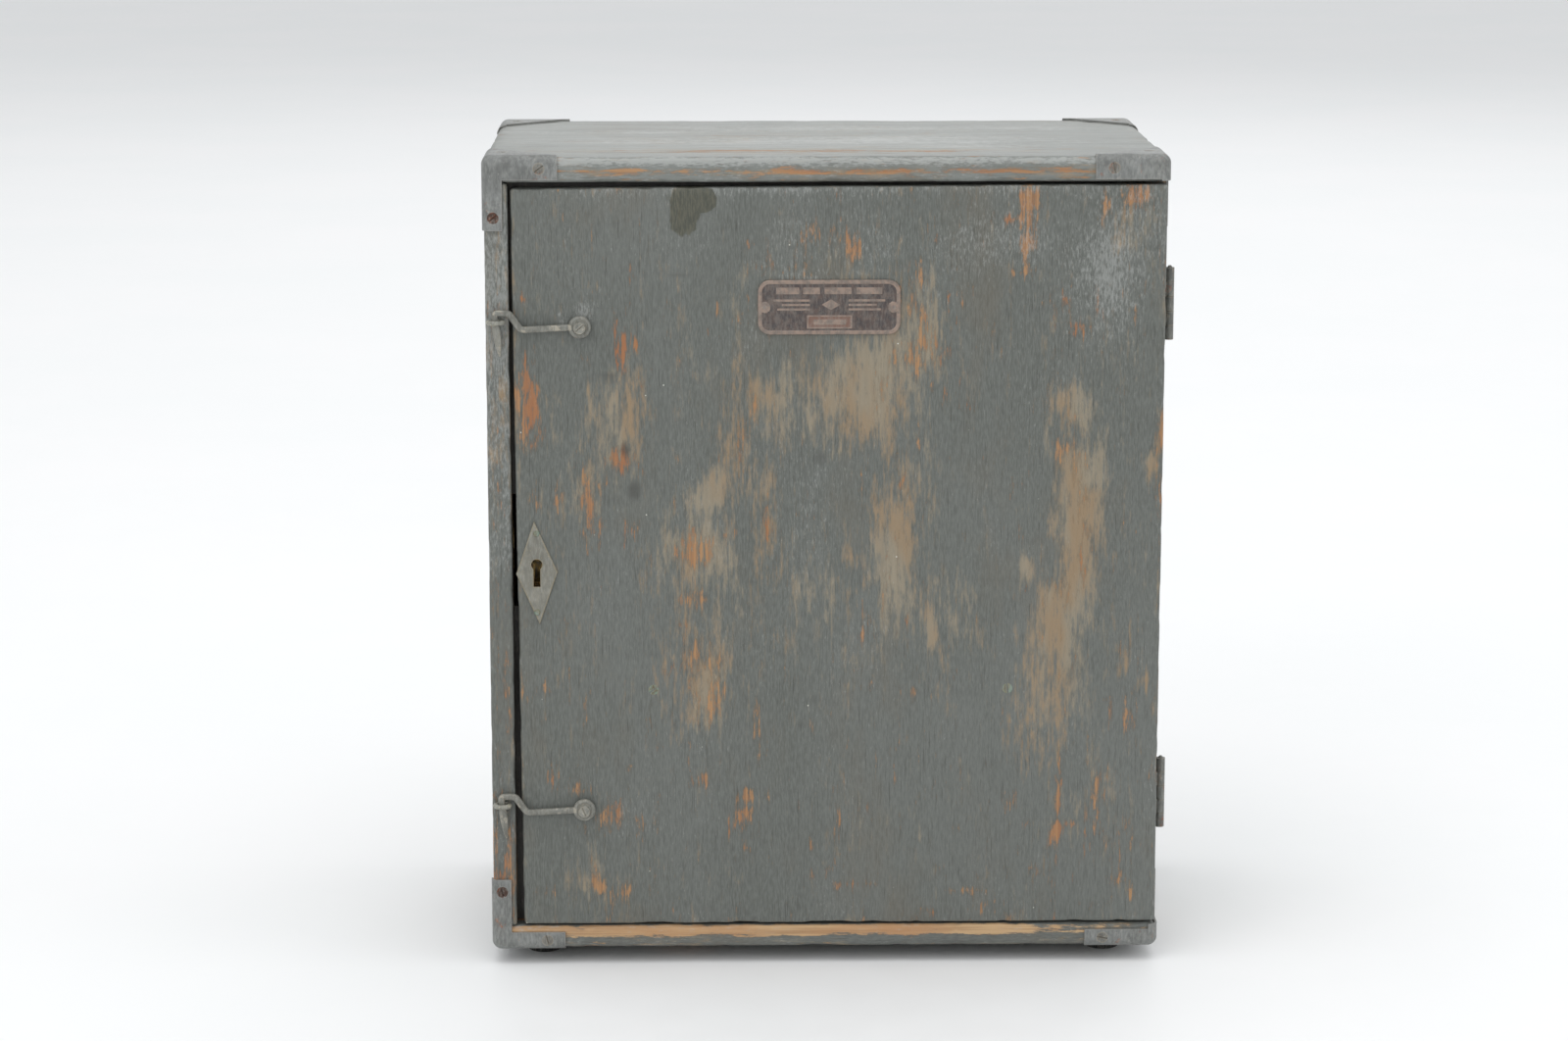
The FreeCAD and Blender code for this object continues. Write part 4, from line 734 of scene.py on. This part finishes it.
doorLook = {
    "name": "door_board", "body": "door", "along": "Z", "fine": 1.15 * mm, "coarse": 3.6 * mm,
    "round": 1.3 * mm, "seed": 11, "grooves": 0.16 * mm, "hollows": 0.10 * mm, "bruise": 0.9 * mm,
    "u": 0, "v": 2, "flipU": 0,
    "inward": 3, "rubReach": 3 * mm, "edgeBare": 0.10, "edgeRubbed": 0.12, "edgePale": 0.06,
    "everywhere": -0.02, "stretch": 30.0, "bruiseReach": 2.8 * mm, "more": None, "pockets": [],
    "extra": {0: np.arange(keyHole["x"] - 5 * mm, keyHole["x"] + 5 * mm, 0.7 * mm),
              2: np.arange(keyHole["z"] - 13 * mm, keyHole["z"] + 5 * mm, 0.7 * mm)},
    "bare": thousandths([
        (790, 18, 22, 16, 520), (767, 46, 24, 10, 500), (785, 80, 16, 22, 520), (775, 116, 20, 10, 480),
        (906, 35, 20, 22, 360), (950, 15, 40, 22, 400), (862, 190, 22, 14, 440), (840, 155, 30, 30, 240),
        (523, 85, 12, 20, 440), (448, 107, 18, 16, 400), (380, 110, 30, 18, 280), (365, 75, 10, 12, 340),
        (622, 170, 22, 55, 360), (660, 220, 12, 22, 340), (585, 200, 20, 60, 220), (20, 145, 10, 14, 340),
        (12, 280, 20, 60, 360), (30, 330, 15, 90, 280), (140, 97, 10, 10, 300), (172, 120, 10, 20, 360),
        (165, 213, 14, 30, 460), (108, 226, 10, 16, 420), (190, 210, 8, 16, 340), (155, 365, 26, 22, 340),
        (130, 420, 20, 50, 260), (367, 288, 20, 25, 320), (335, 364, 30, 30, 240), (270, 551, 32, 12, 400),
        (260, 490, 50, 25, 260), (285, 655, 50, 65, 300), (225, 640, 18, 22, 300), (300, 700, 22, 35, 300),
        (284, 800, 20, 14, 380), (100, 730, 5, 55, 320), (90, 812, 22, 12, 420), (146, 842, 20, 26, 520),
        (115, 862, 30, 18, 300), (110, 925, 16, 30, 320), (120, 948, 20, 18, 400), (158, 958, 18, 20, 400),
        (35, 952, 20, 12, 300), (185, 862, 12, 24, 360), (212, 845, 6, 30, 300), (355, 819, 16, 10, 460),
        (388, 826, 14, 12, 460), (352, 852, 12, 14, 460), (352, 893, 8, 12, 460), (455, 890, 8, 14, 460),
        (452, 932, 10, 10, 420), (480, 930, 12, 8, 360), (530, 947, 40, 8, 300), (700, 955, 45, 3, 420),
        (730, 982, 13, 12, 460), (620, 988, 60, 8, 260), (845, 815, 5, 50, 600), (842, 875, 10, 14, 480),
        (862, 865, 14, 8, 400), (910, 820, 30, 45, 270), (760, 836, 22, 16, 300), (810, 929, 12, 12, 360),
        (945, 943, 12, 10, 420), (967, 960, 16, 14, 420), (900, 975, 50, 10, 260), (996, 340, 10, 40, 500),
        (996, 410, 12, 30, 550), (996, 800, 8, 30, 360), (838, 352, 12, 20, 340), (614, 683, 6, 18, 420),
        (600, 400, 12, 45, 300), (108, 420, 10, 70, 460), (20, 260, 13, 50, 140), (65, 420, 10, 35, 400),
        (32, 410, 9, 30, 400), (165, 350, 20, 30, 340), (175, 460, 18, 30, 360), (345, 330, 10, 40, 340),
        (385, 430, 8, 55, 420), (280, 480, 30, 35, 360), (620, 225, 30, 30, 300), (555, 280, 20, 60, 240),
        (580, 500, 14, 50, 300), (540, 600, 20, 50, 220), (870, 340, 30, 60, 240), (880, 480, 14, 60, 320),
        (345, 845, 30, 30, 260), (370, 740, 8, 50, 340), (170, 800, 6, 50, 320), (930, 880, 50, 50, 200),
        (955, 700, 14, 50, 320), (920, 700, 10, 40, 300), (790, 50, 16, 70, 300), (490, 75, 50, 35, 260),
        (440, 50, 30, 30, 220), (930, 130, 50, 50, 160), (900, 170, 12, 30, 340), (620, 110, 12, 30, 260),
        (210, 920, 50, 40, 180), (830, 900, 50, 40, 200), (50, 800, 12, 20, 280),
    ]),
    "rubbed": thousandths([
        (440, 290, 150, 75, 440), (550, 260, 70, 70, 460), (620, 190, 50, 80, 460), (285, 410, 30, 22, 550),
        (170, 300, 60, 70, 360), (300, 480, 50, 50, 340), (385, 430, 20, 70, 400), (100, 420, 50, 60, 260),
        (580, 500, 30, 90, 420), (335, 390, 50, 45, 460), (600, 440, 50, 140, 340), (866, 290, 35, 30, 460),
        (872, 380, 35, 30, 550), (870, 440, 45, 40, 480), (877, 520, 24, 50, 620), (790, 510, 16, 20, 520),
        (830, 620, 55, 85, 520), (800, 740, 50, 60, 340), (945, 645, 12, 20, 440), (975, 670, 10, 22, 480),
        (980, 375, 14, 25, 600), (644, 600, 10, 30, 400), (285, 660, 70, 90, 340), (290, 685, 35, 45, 300),
        (250, 500, 60, 60, 280), (120, 940, 60, 35, 300), (460, 600, 220, 100, 140),
        (910, 820, 40, 60, 260), (150, 300, 50, 100, 180), (490, 130, 150, 50, 200),
        (845, 860, 50, 50, 220), (860, 480, 70, 220, 120), (840, 550, 30, 60, 200), (950, 50, 50, 40, 300),
        (900, 360, 70, 120, 140), (400, 520, 120, 80, 160), (670, 570, 70, 60, 200),
        (50, 350, 50, 120, 140),
    ]),
    "stain": thousandths([
        (272, 12, 40, 24, 700), (262, 46, 28, 26, 660), (300, 18, 18, 16, 500),
    ]),
    "pale": thousandths([
        (930, 100, 80, 110, 150), (860, 160, 80, 140, 100), (740, 72, 70, 50, 140),
        (470, 380, 100, 130, 50), (440, 500, 120, 120, 40), (560, 80, 140, 60, 100),
        (110, 165, 14, 12, 260), (75, 172, 10, 8, 280), (300, 60, 250, 60, 70), (500, 6, 500, 8, 160),
        (440, 125, 50, 12, 200), (350, 200, 60, 60, 80),
    ]),
    "knot": thousandths([
        (147, 250, 18, 12, 700), (170, 348, 10, 14, 900), (183, 402, 14, 18, 800), (470, 360, 16, 16, 600),
        (460, 435, 12, 12, 500), (256, 113, 30, 6, 600), (370, 700, 8, 10, 500),
    ]),
}
board("door_panel", doorLook, doorPaint, insideUpright, sagged, keyHole)
print("door board made")

topLow, _ = boxOf("top_board")
baseLow, _ = boxOf("bottom_board")


def topFrontRub(points, out):
    # along the front edge: a broken bare line in the middle, chalky paint above it and a darker band below
    # it, along the lower edge over the door's gap
    height = points[:, 2] - topLow[2]
    front = np.clip(-out[:, 1] * 1.4, 0, 1)
    line = np.exp(-((height - 5.2 * mm) / (1.5 * mm)) ** 2) * (0.44 + 0.12 * drift(points, (0.03, 1, 1), 5))
    chalk = np.exp(-((height - 10.2 * mm) / (2.2 * mm)) ** 2) * (0.36 + 0.15 * drift(points, (0.02, 1, 1), 6))
    grime = np.exp(-((height - 1.2 * mm) / (2.4 * mm)) ** 2) * 0.35
    return {"bare": front * line, "rubbed": front * line * 0.9, "pale": front * chalk, "knot": front * grime}


def baseFrontRub(points, out):
    # the upper half of the front edge is worn to bare wood nearly all along, less at the hinge side
    height = np.clip((points[:, 2] - baseLow[2] - 4.5 * mm) / (2.5 * mm), 0, 1)
    along = np.clip((0.125 - points[:, 0]) / 0.03, 0.25, 1)
    return {"bare": np.clip(-out[:, 1] * 1.3, 0, 1) * height * along * 0.80}


def leftFrontRub(points, out):
    # the narrow front edge beside the door is speckled with small bare spots and chalky paint
    front = np.clip(-out[:, 1] * 1.3, 0, 1)
    return {"bare": front * (0.10 * drift(points, (1, 1, 0.05), 7) - 0.02),
            "pale": front * (0.06 + 0.12 * drift(points, (1, 1, 0.03), 8))}


topLook = {
    **doorLook, "name": "top_plank", "body": "case", "along": "X", "round": 3.4 * mm, "seed": 21,
    "u": 0, "v": 1, "inward": 4, "grooves": 0.20 * mm, "bruise": 1.2 * mm,
    "edgeBare": 0.12, "everywhere": 0.02, "extra": {},
    "rubReach": 4 * mm, "more": topFrontRub,
    "bare": thousandths([
        (440, 860, 300, 45, 340), (300, 840, 80, 30, 120), (660, 870, 100, 30, 120),
    ]),
    "rubbed": thousandths([
        (450, 840, 450, 80, 420), (500, 400, 300, 200, 200), (250, 600, 200, 100, 180),
    ]),
    "stain": [], "knot": [],
    "pale": thousandths([
        (450, 620, 450, 60, 220), (550, 520, 350, 60, 180), (620, 250, 400, 70, 160),
        (200, 350, 200, 50, 160), (800, 740, 200, 50, 140), (500, 500, 600, 600, 60),
    ]),
}
board("top_board", topLook, topPaint, insideLevel)
baseLook = {
    **topLook, "name": "base_plank", "seed": 31, "inward": 5, "more": baseFrontRub, "round": 2.6 * mm,
    "grooves": 0.22 * mm,
    **unseenWear((14, 8, 8, 0), 31, (0.25, 0.6), (0.02, 0.07), (0.15, 0.36)),
}
board("bottom_board", baseLook, basePaint, insideLevel)
strikePockets = [{"around": "strike_plate", "play": 0.15 * mm, "depth": 1.3 * mm},
                 {"around": "lock_bolt", "play": 0.7 * mm, "depth": 7 * mm}]
leftLook = {
    **doorLook, "name": "left_plank", "body": "case", "seed": 41, "u": 1, "flipU": 1, "inward": 1,
    "pockets": strikePockets, "extra": {axis: pocketMarks(strikePockets, axis) for axis in (1, 2)},
    "round": 1.6 * mm, "edgeBare": 0.16, "rubReach": 5 * mm, "everywhere": 0.03, "bruise": 1.1 * mm,
    "more": leftFrontRub, "stain": [], **unseenWear((22, 10, 12, 3), 41),
}
board("left_side", leftLook, sidePaint, insideUpright)
rightLook = {
    **leftLook, "pockets": [], "extra": {}, "name": "right_plank", "seed": 51, "flipU": 0, "inward": 0,
    "more": None, **unseenWear((20, 10, 12, 3), 51),
}
board("right_side", rightLook, sidePaint, insideUpright)
backLook = {
    **rightLook, "name": "back_plank", "seed": 61, "u": 0, "flipU": 1, "inward": 2, "round": 0.6 * mm,
    "fine": 1.3 * mm, **unseenWear((26, 12, 14, 4), 61, (0.15, 0.34), (0.04, 0.10), (0.14, 0.34)),
}
board("back_panel", backLook, sidePaint, insideUpright)
print("case boards made")


plateLook = {
    "corner": 5.6 * mm, "rim": 1.7 * mm, "recess": 0.45 * mm, "raise": 0.22 * mm, "spacing": 0.36 * mm,
    "slope": 0.12 * mm,
    # plain bars only, in millimetres from the plate's middle: across, up, width, height. A row of four, two
    # columns of thin ones, then a frame, its inside and the bar in it. A lozenge sits between the columns
    "bars": [(-19.2, 7.6, 10.5, 3.1), (-8.2, 7.6, 8.0, 3.1), (4.0, 7.6, 12.5, 3.1), (18.6, 7.6, 12.0, 3.1),
             (-17.5, 3.2, 17, 1.1), (-15.5, 1.1, 13, 0.9), (-16.5, -1.0, 15, 0.9),
             (17.5, 3.2, 17, 1.1), (15.5, 1.1, 13, 0.9), (16.5, -1.0, 15, 0.9)],
    "boxed": [(0.2, -6.9, 21, 6.2), (0.2, -6.9, 19.6, 4.9), (0.2, -6.9, 15, 2.6)],
}


def rectField(x, z, bar):
    # 1 inside a flat-topped bar and 0 outside, with a sloping wall between
    middleX, middleZ, width, height = (value * mm for value in bar)
    reach = np.minimum(width / 2 - abs(x - middleX), height / 2 - abs(z - middleZ))
    return np.clip(reach / plateLook["slope"] * 0.5 + 0.5, 0, 1)


def namePlate():
    # a thin plate ruled as a box: each corner square's grid is drawn in to a quarter disc by
    # max(|x|, |z|) / length, the front sinks inside a rim, and plain bars stand up again in the sunk field
    low, high = boxOf("name_plate")
    step = plateLook["spacing"]
    lines = [marks(low[0], high[0], 0.5 * mm, step), np.linspace(low[1], high[1], 5),
             marks(low[2], high[2], 0.5 * mm, step)]
    points, faces, facing = boxSkin(lines)
    flat = points[:, [0, 2]]
    core = np.clip(flat, low[[0, 2]] + plateLook["corner"], high[[0, 2]] - plateLook["corner"])
    arm = flat - core
    square = abs(arm).max(axis=1)
    length = np.maximum(np.linalg.norm(arm, axis=1), 1e-12)
    corner = (abs(arm) > 0).all(axis=1)
    scale = np.where(corner, square / length, 1.0)
    flat = core + arm * scale[:, None]
    x = flat[:, 0] - (low[0] + high[0]) / 2
    z = flat[:, 1] - (low[2] + high[2]) / 2
    arm = flat - core
    inner = np.where((abs(arm) > 0).any(axis=1), plateLook["corner"] - np.linalg.norm(arm, axis=1), 1.0)
    halfW, halfH = (high - low)[[0, 2]] / 2
    toEdge = np.where(corner, inner, np.minimum(halfW - abs(x), halfH - abs(z)))
    sunk = np.clip((toEdge - plateLook["rim"]) / (0.35 * mm), 0, 1)
    blocks = [rectField(x, z, bar) for bar in plateLook["bars"]]
    lozenge = abs(x - 0.8 * mm) / (0.92 * mm) + abs(z - 1.2 * mm) / (0.52 * mm)
    blocks.append(0.7 * np.clip(5.5 - lozenge, 0, 1))
    boxed, boxedIn, boxedBar = (rectField(x, z, bar) for bar in plateLook["boxed"])
    block = np.max(blocks + [boxed - boxedIn, boxedBar * 0.85], axis=0)
    ends = np.clip(1 - np.hypot(abs(x) - 29.8 * mm, z) / (2.6 * mm), 0, 1) > 0
    sunk = np.where(ends, 0, sunk)
    block = np.where(ends, 0, block) * sunk
    front = 1 - (points[:, 1] - low[1]) / (high[1] - low[1])
    depth = plateLook["recess"] * sunk - plateLook["raise"] * block
    edgeFall = 0.25 * mm * np.clip(1 - toEdge / (0.5 * mm), 0, 1) ** 2
    bow = 0.05 * mm * (drift(points, (0.012, 1, 0.009), 71) + 1)
    y = points[:, 1] + (depth + edgeFall + bow) * np.clip(front * 2 - 1, 0, 1)
    placed = np.stack([flat[:, 0], y, flat[:, 1]], axis=1)
    fields = {"raised": np.maximum(block, 1 - sunk), "framed": boxed}
    piece = solid("name_plate_face", placed, faces, "door", [plateBronze], None, fields)
    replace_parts(piece, "name_plate")


namePlate()
print("name plate made")


hookLook = {
    # the bar's line from the pivot, in the plane of the door, then the tongue's own length and lean
    "line": [(-3.6, 0.0), (-27.2, -1.2), (-32.6, 6.6), (-39.4, 6.6), (-37.0, -13.6)],
    "soften": 1.5 * mm, "spacing": 0.4 * mm, "sides": 20, "loopWide": 1.62 * mm, "loopThick": 1.42 * mm,
    "loopRadius": 3.66 * mm, "loopSteps": 56, "hammer": 0.07 * mm, "hammerSize": 3 * mm, "square": 0.7,
    # share of the length, half width, half thickness, in millimetres
    "section": [(0.0, 1.35, 1.3), (0.05, 1.55, 1.35), (0.38, 1.5, 1.3), (0.52, 1.62, 1.42), (0.66, 1.5, 1.45),
                (0.745, 1.5, 1.4), (0.80, 1.95, 1.2), (0.90, 1.55, 0.95), (0.97, 0.85, 0.7),
                (1.0, 0.35, 0.4)],
}


def softened(line, spacing, soften):
    # the broken line is walked at even steps, then each point becomes its neighbours' bell-weighted mean
    line = np.array(line) * mm
    reach = np.concatenate([[0], np.cumsum(np.linalg.norm(np.diff(line, axis=0), axis=1))])
    steps = np.linspace(0, reach[-1], int(reach[-1] / spacing))
    even = np.stack([np.interp(steps, reach, line[:, k]) for k in (0, 1)], axis=1)
    bell = np.exp(-((steps[:, None] - steps[None]) / soften) ** 2)
    mean = bell @ even / bell.sum(axis=1, keepdims=True)
    pinned = np.clip(np.minimum(steps, steps[-1] - steps) / (2 * soften), 0, 1)[:, None]
    return even * (1 - pinned) + mean * pinned


def carried(centre, side, lift, wide, thick, sides, loop):
    # a squared oval carried along a path: point = centre + side * wide * c + lift * thick * s,
    # with c and s the cosine and sine of the turn, drawn out by the power "square"
    turn = np.linspace(0, 2 * math.pi, sides, endpoint=False)
    c = np.sign(np.cos(turn)) * abs(np.cos(turn)) ** hookLook["square"]
    s = np.sign(np.sin(turn)) * abs(np.sin(turn)) ** hookLook["square"]
    ring = side[:, None] * (wide[:, None] * c)[..., None] + lift[:, None] * (thick[:, None] * s)[..., None]
    out = ring / np.linalg.norm(ring, axis=2, keepdims=True)
    points = centre[:, None] + ring
    blows = abs(drift(points.reshape(-1, 3), hookLook["hammerSize"], 81)).reshape(len(centre), sides, 1)
    points -= out * (hookLook["hammer"] * blows)
    rows = len(centre)
    i, j = (g.ravel() for g in np.meshgrid(np.arange(rows if loop else rows - 1),
                                           np.arange(sides), indexing="ij"))
    nextRow, nextSide = (i + 1) % rows, (j + 1) % sides
    faces = np.stack([i, i, nextRow, nextRow], axis=1) * sides + np.stack([j, nextSide, nextSide, j], axis=1)
    points, faces = points.reshape(-1, 3), faces.tolist()
    if not loop:
        points = np.concatenate([points, centre[[0, -1]]])
        k = np.arange(sides)
        after = (k + 1) % sides
        first, last = np.full(sides, rows * sides), (rows - 1) * sides
        faces += np.stack([first, after, k], axis=1).tolist()
        faces += np.stack([first + 1, last + k, last + after], axis=1).tolist()
    return points, faces


def hook(place):
    node = place + "_hook"
    low, high = boxOf(node)
    washerLow, washerHigh = boxOf(node + "_washer")
    pivot = np.array([(washerLow[0] + washerHigh[0]) / 2, (low[1] + high[1]) / 2,
                      (washerLow[2] + washerHigh[2]) / 2])
    flat = softened(hookLook["line"], hookLook["spacing"], hookLook["soften"])
    centre = np.stack([flat[:, 0], np.zeros(len(flat)), flat[:, 1]], axis=1) + pivot
    ahead = np.gradient(flat, axis=0)
    ahead /= np.linalg.norm(ahead, axis=1, keepdims=True)
    side = np.stack([-ahead[:, 1], np.zeros(len(flat)), ahead[:, 0]], axis=1)
    lift = np.tile([0.0, 1.0, 0.0], (len(flat), 1))
    share = np.linspace(0, 1, len(flat))
    table = np.array(hookLook["section"])
    wide, thick = (np.interp(share, table[:, 0], table[:, k]) * mm for k in (1, 2))
    points, faces = carried(centre, side, lift, wide, thick, hookLook["sides"], False)
    steps = hookLook["loopSteps"]
    turn = np.linspace(0, 2 * math.pi, steps, endpoint=False)
    out = np.stack([np.cos(turn), np.zeros(steps), np.sin(turn)], axis=1)
    ringWide, ringThick = np.full(steps, hookLook["loopWide"]), np.full(steps, hookLook["loopThick"])
    ringPoints, ringFaces = carried(pivot + out * hookLook["loopRadius"], out, np.tile(lift[0], (steps, 1)),
                                    ringWide, ringThick, hookLook["sides"], True)
    faces = faces + (np.array(ringFaces) + len(points)).tolist()
    points = np.concatenate([points, ringPoints])
    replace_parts(solid(node + "_bar", points, faces, node, [hookIron]), node)


hook("upper")
hook("lower")
print("hooks made")


def dress(names, material):
    for name in names:
        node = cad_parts[name]
        node.data.materials.clear()
        node.data.materials.append(material)


allNodes = sorted(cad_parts)
dress([n for n in allNodes if n.startswith("corner_") and n != "corner_screws"], sheetIron)
dress([n for n in allNodes if "hinge" in n and "screws" not in n], paintedIron)
dress([n for n in allNodes if "hook_" in n], hookIron)
dress(["upper_screw_eye", "lower_screw_eye"], eyeMetal)
dress(["escutcheon"], lozengeMetal)
dress(["corner_screws", "foot_screws", "rail_screws", "hinge_case_screws", "hinge_door_screws"],
      rustySteel)
dress(["lock_bolt", "lock_case", "lock_plate", "lock_screws", "key_post", "strike_plate", "strike_screws",
       "boss_screws", "instrument_boss"], agedBrass)
dress(["name_plate_pins"], pinMetal)
dress(["escutcheon_pins", "door_block_screws"], greenBrass)
dress(["left_rail", "right_rail", "sled_board", "instrument_plinth"], sledWood)
dress(["left_door_stop"], stopWood)
dress(["top_door_stop"], stopShadeLevelWood)
dress(["door_block"], blockWood)
dress(["door_block_felt"], felt)
dress([n for n in allNodes if n.startswith("foot_") and n != "foot_screws"], rubber)
print("carried-over pieces finished")


def groundSheet():
    # a wide disc of floor: rings times spokes, closed in the middle by one point
    rings = np.array([0.25, 0.6, 1.2, 2.5, 5, 10, 20])
    spokes = 48
    turn = np.linspace(0, 2 * math.pi, spokes, endpoint=False)
    ringPoints = np.stack([np.outer(rings, np.cos(turn)).ravel(), np.outer(rings, np.sin(turn)).ravel(),
                           np.full(rings.size * spokes, cadLow[2])], axis=1)
    points = np.concatenate([[[0, 0, cadLow[2]]], ringPoints])
    k = np.arange(spokes)
    after = (k + 1) % spokes
    start = 1 + spokes * np.arange(len(rings) - 1)[:, None]
    centre = np.stack([0 * k, 1 + k, 1 + after], axis=1)
    bands = np.stack([start + k, start + spokes + k, start + spokes + after, start + after], axis=2)
    mesh = bpy.data.meshes.new("floor")
    mesh.from_pydata(points.tolist(), [], centre.tolist() + bands.reshape(-1, 4).tolist())
    material, b, plug = newMaterial("paleFloor", (0.9, 0.9, 0.9, 1),
                                    **{"Specular IOR Level": 0.25, "IOR": 1.45})
    spot = b.spot()
    plug("Base Color", b.mix(b.ease(b.noise(spot, 3, 4), 0.3, 0.7), tone(242, 243, 243), tone(244, 244, 244)))
    plug("Roughness", b.ease(b.noise(spot, 40, 3), 0.3, 0.7, 0.55, 0.7))
    mesh.materials.append(material)
    floor = bpy.data.objects.new("floor", mesh)
    bpy.context.scene.collection.objects.link(floor)


def softBox(name, place, aim, size, power):
    lamp = bpy.data.lights.new(name, "AREA")
    lamp.shape = "RECTANGLE"
    lamp.size, lamp.size_y = size
    lamp.energy = power
    holder = bpy.data.objects.new(name, lamp)
    holder.location = place
    holder.rotation_euler = (Vector(aim) - Vector(place)).to_track_quat("-Z", "Y").to_euler()
    bpy.context.scene.collection.objects.link(holder)


groundSheet()
softBox("topLight", (-0.3, -0.7, 3.6), (0, 0.2, 0.1), (3.6, 3.2), 44)
softBox("frontLight", (-1.8, -3.0, 1.9), (0, 0, 0.2), (2.2, 2.2), 22)
softBox("sideLight", (2.8, -0.6, 1.6), (0, 0, 0.2), (2.0, 2.0), 10)
softBox("backLight", (0.6, 3.4, 2.6), (0, 0.4, 0.1), (2.6, 2.2), 22)
world = bpy.data.worlds.new("studio")
bpy.context.scene.world = world
world.use_nodes = True
sky = world.node_tree.nodes.get("Background") or world.node_tree.nodes.new("ShaderNodeBackground")
sky.inputs["Color"].default_value = (0.97, 0.985, 1.0, 1)
sky.inputs["Strength"].default_value = 0.76
bpy.context.scene.view_settings.view_transform = "Standard"

cameraLook = {"place": (-0.0549, -1.8959, 0.5740), "tilt": 78.805, "turn": -1.113, "lens": 90.57}
lens = bpy.data.cameras.new("camera")
lens.sensor_width = 36
lens.lens = cameraLook["lens"]
lens.clip_start, lens.clip_end = 0.05, 60
camera = bpy.data.objects.new("camera", lens)
camera.location = cameraLook["place"]
camera.rotation_euler = (math.radians(cameraLook["tilt"]), 0, math.radians(cameraLook["turn"]))
bpy.context.scene.collection.objects.link(camera)
bpy.context.scene.camera = camera
print("stage set")
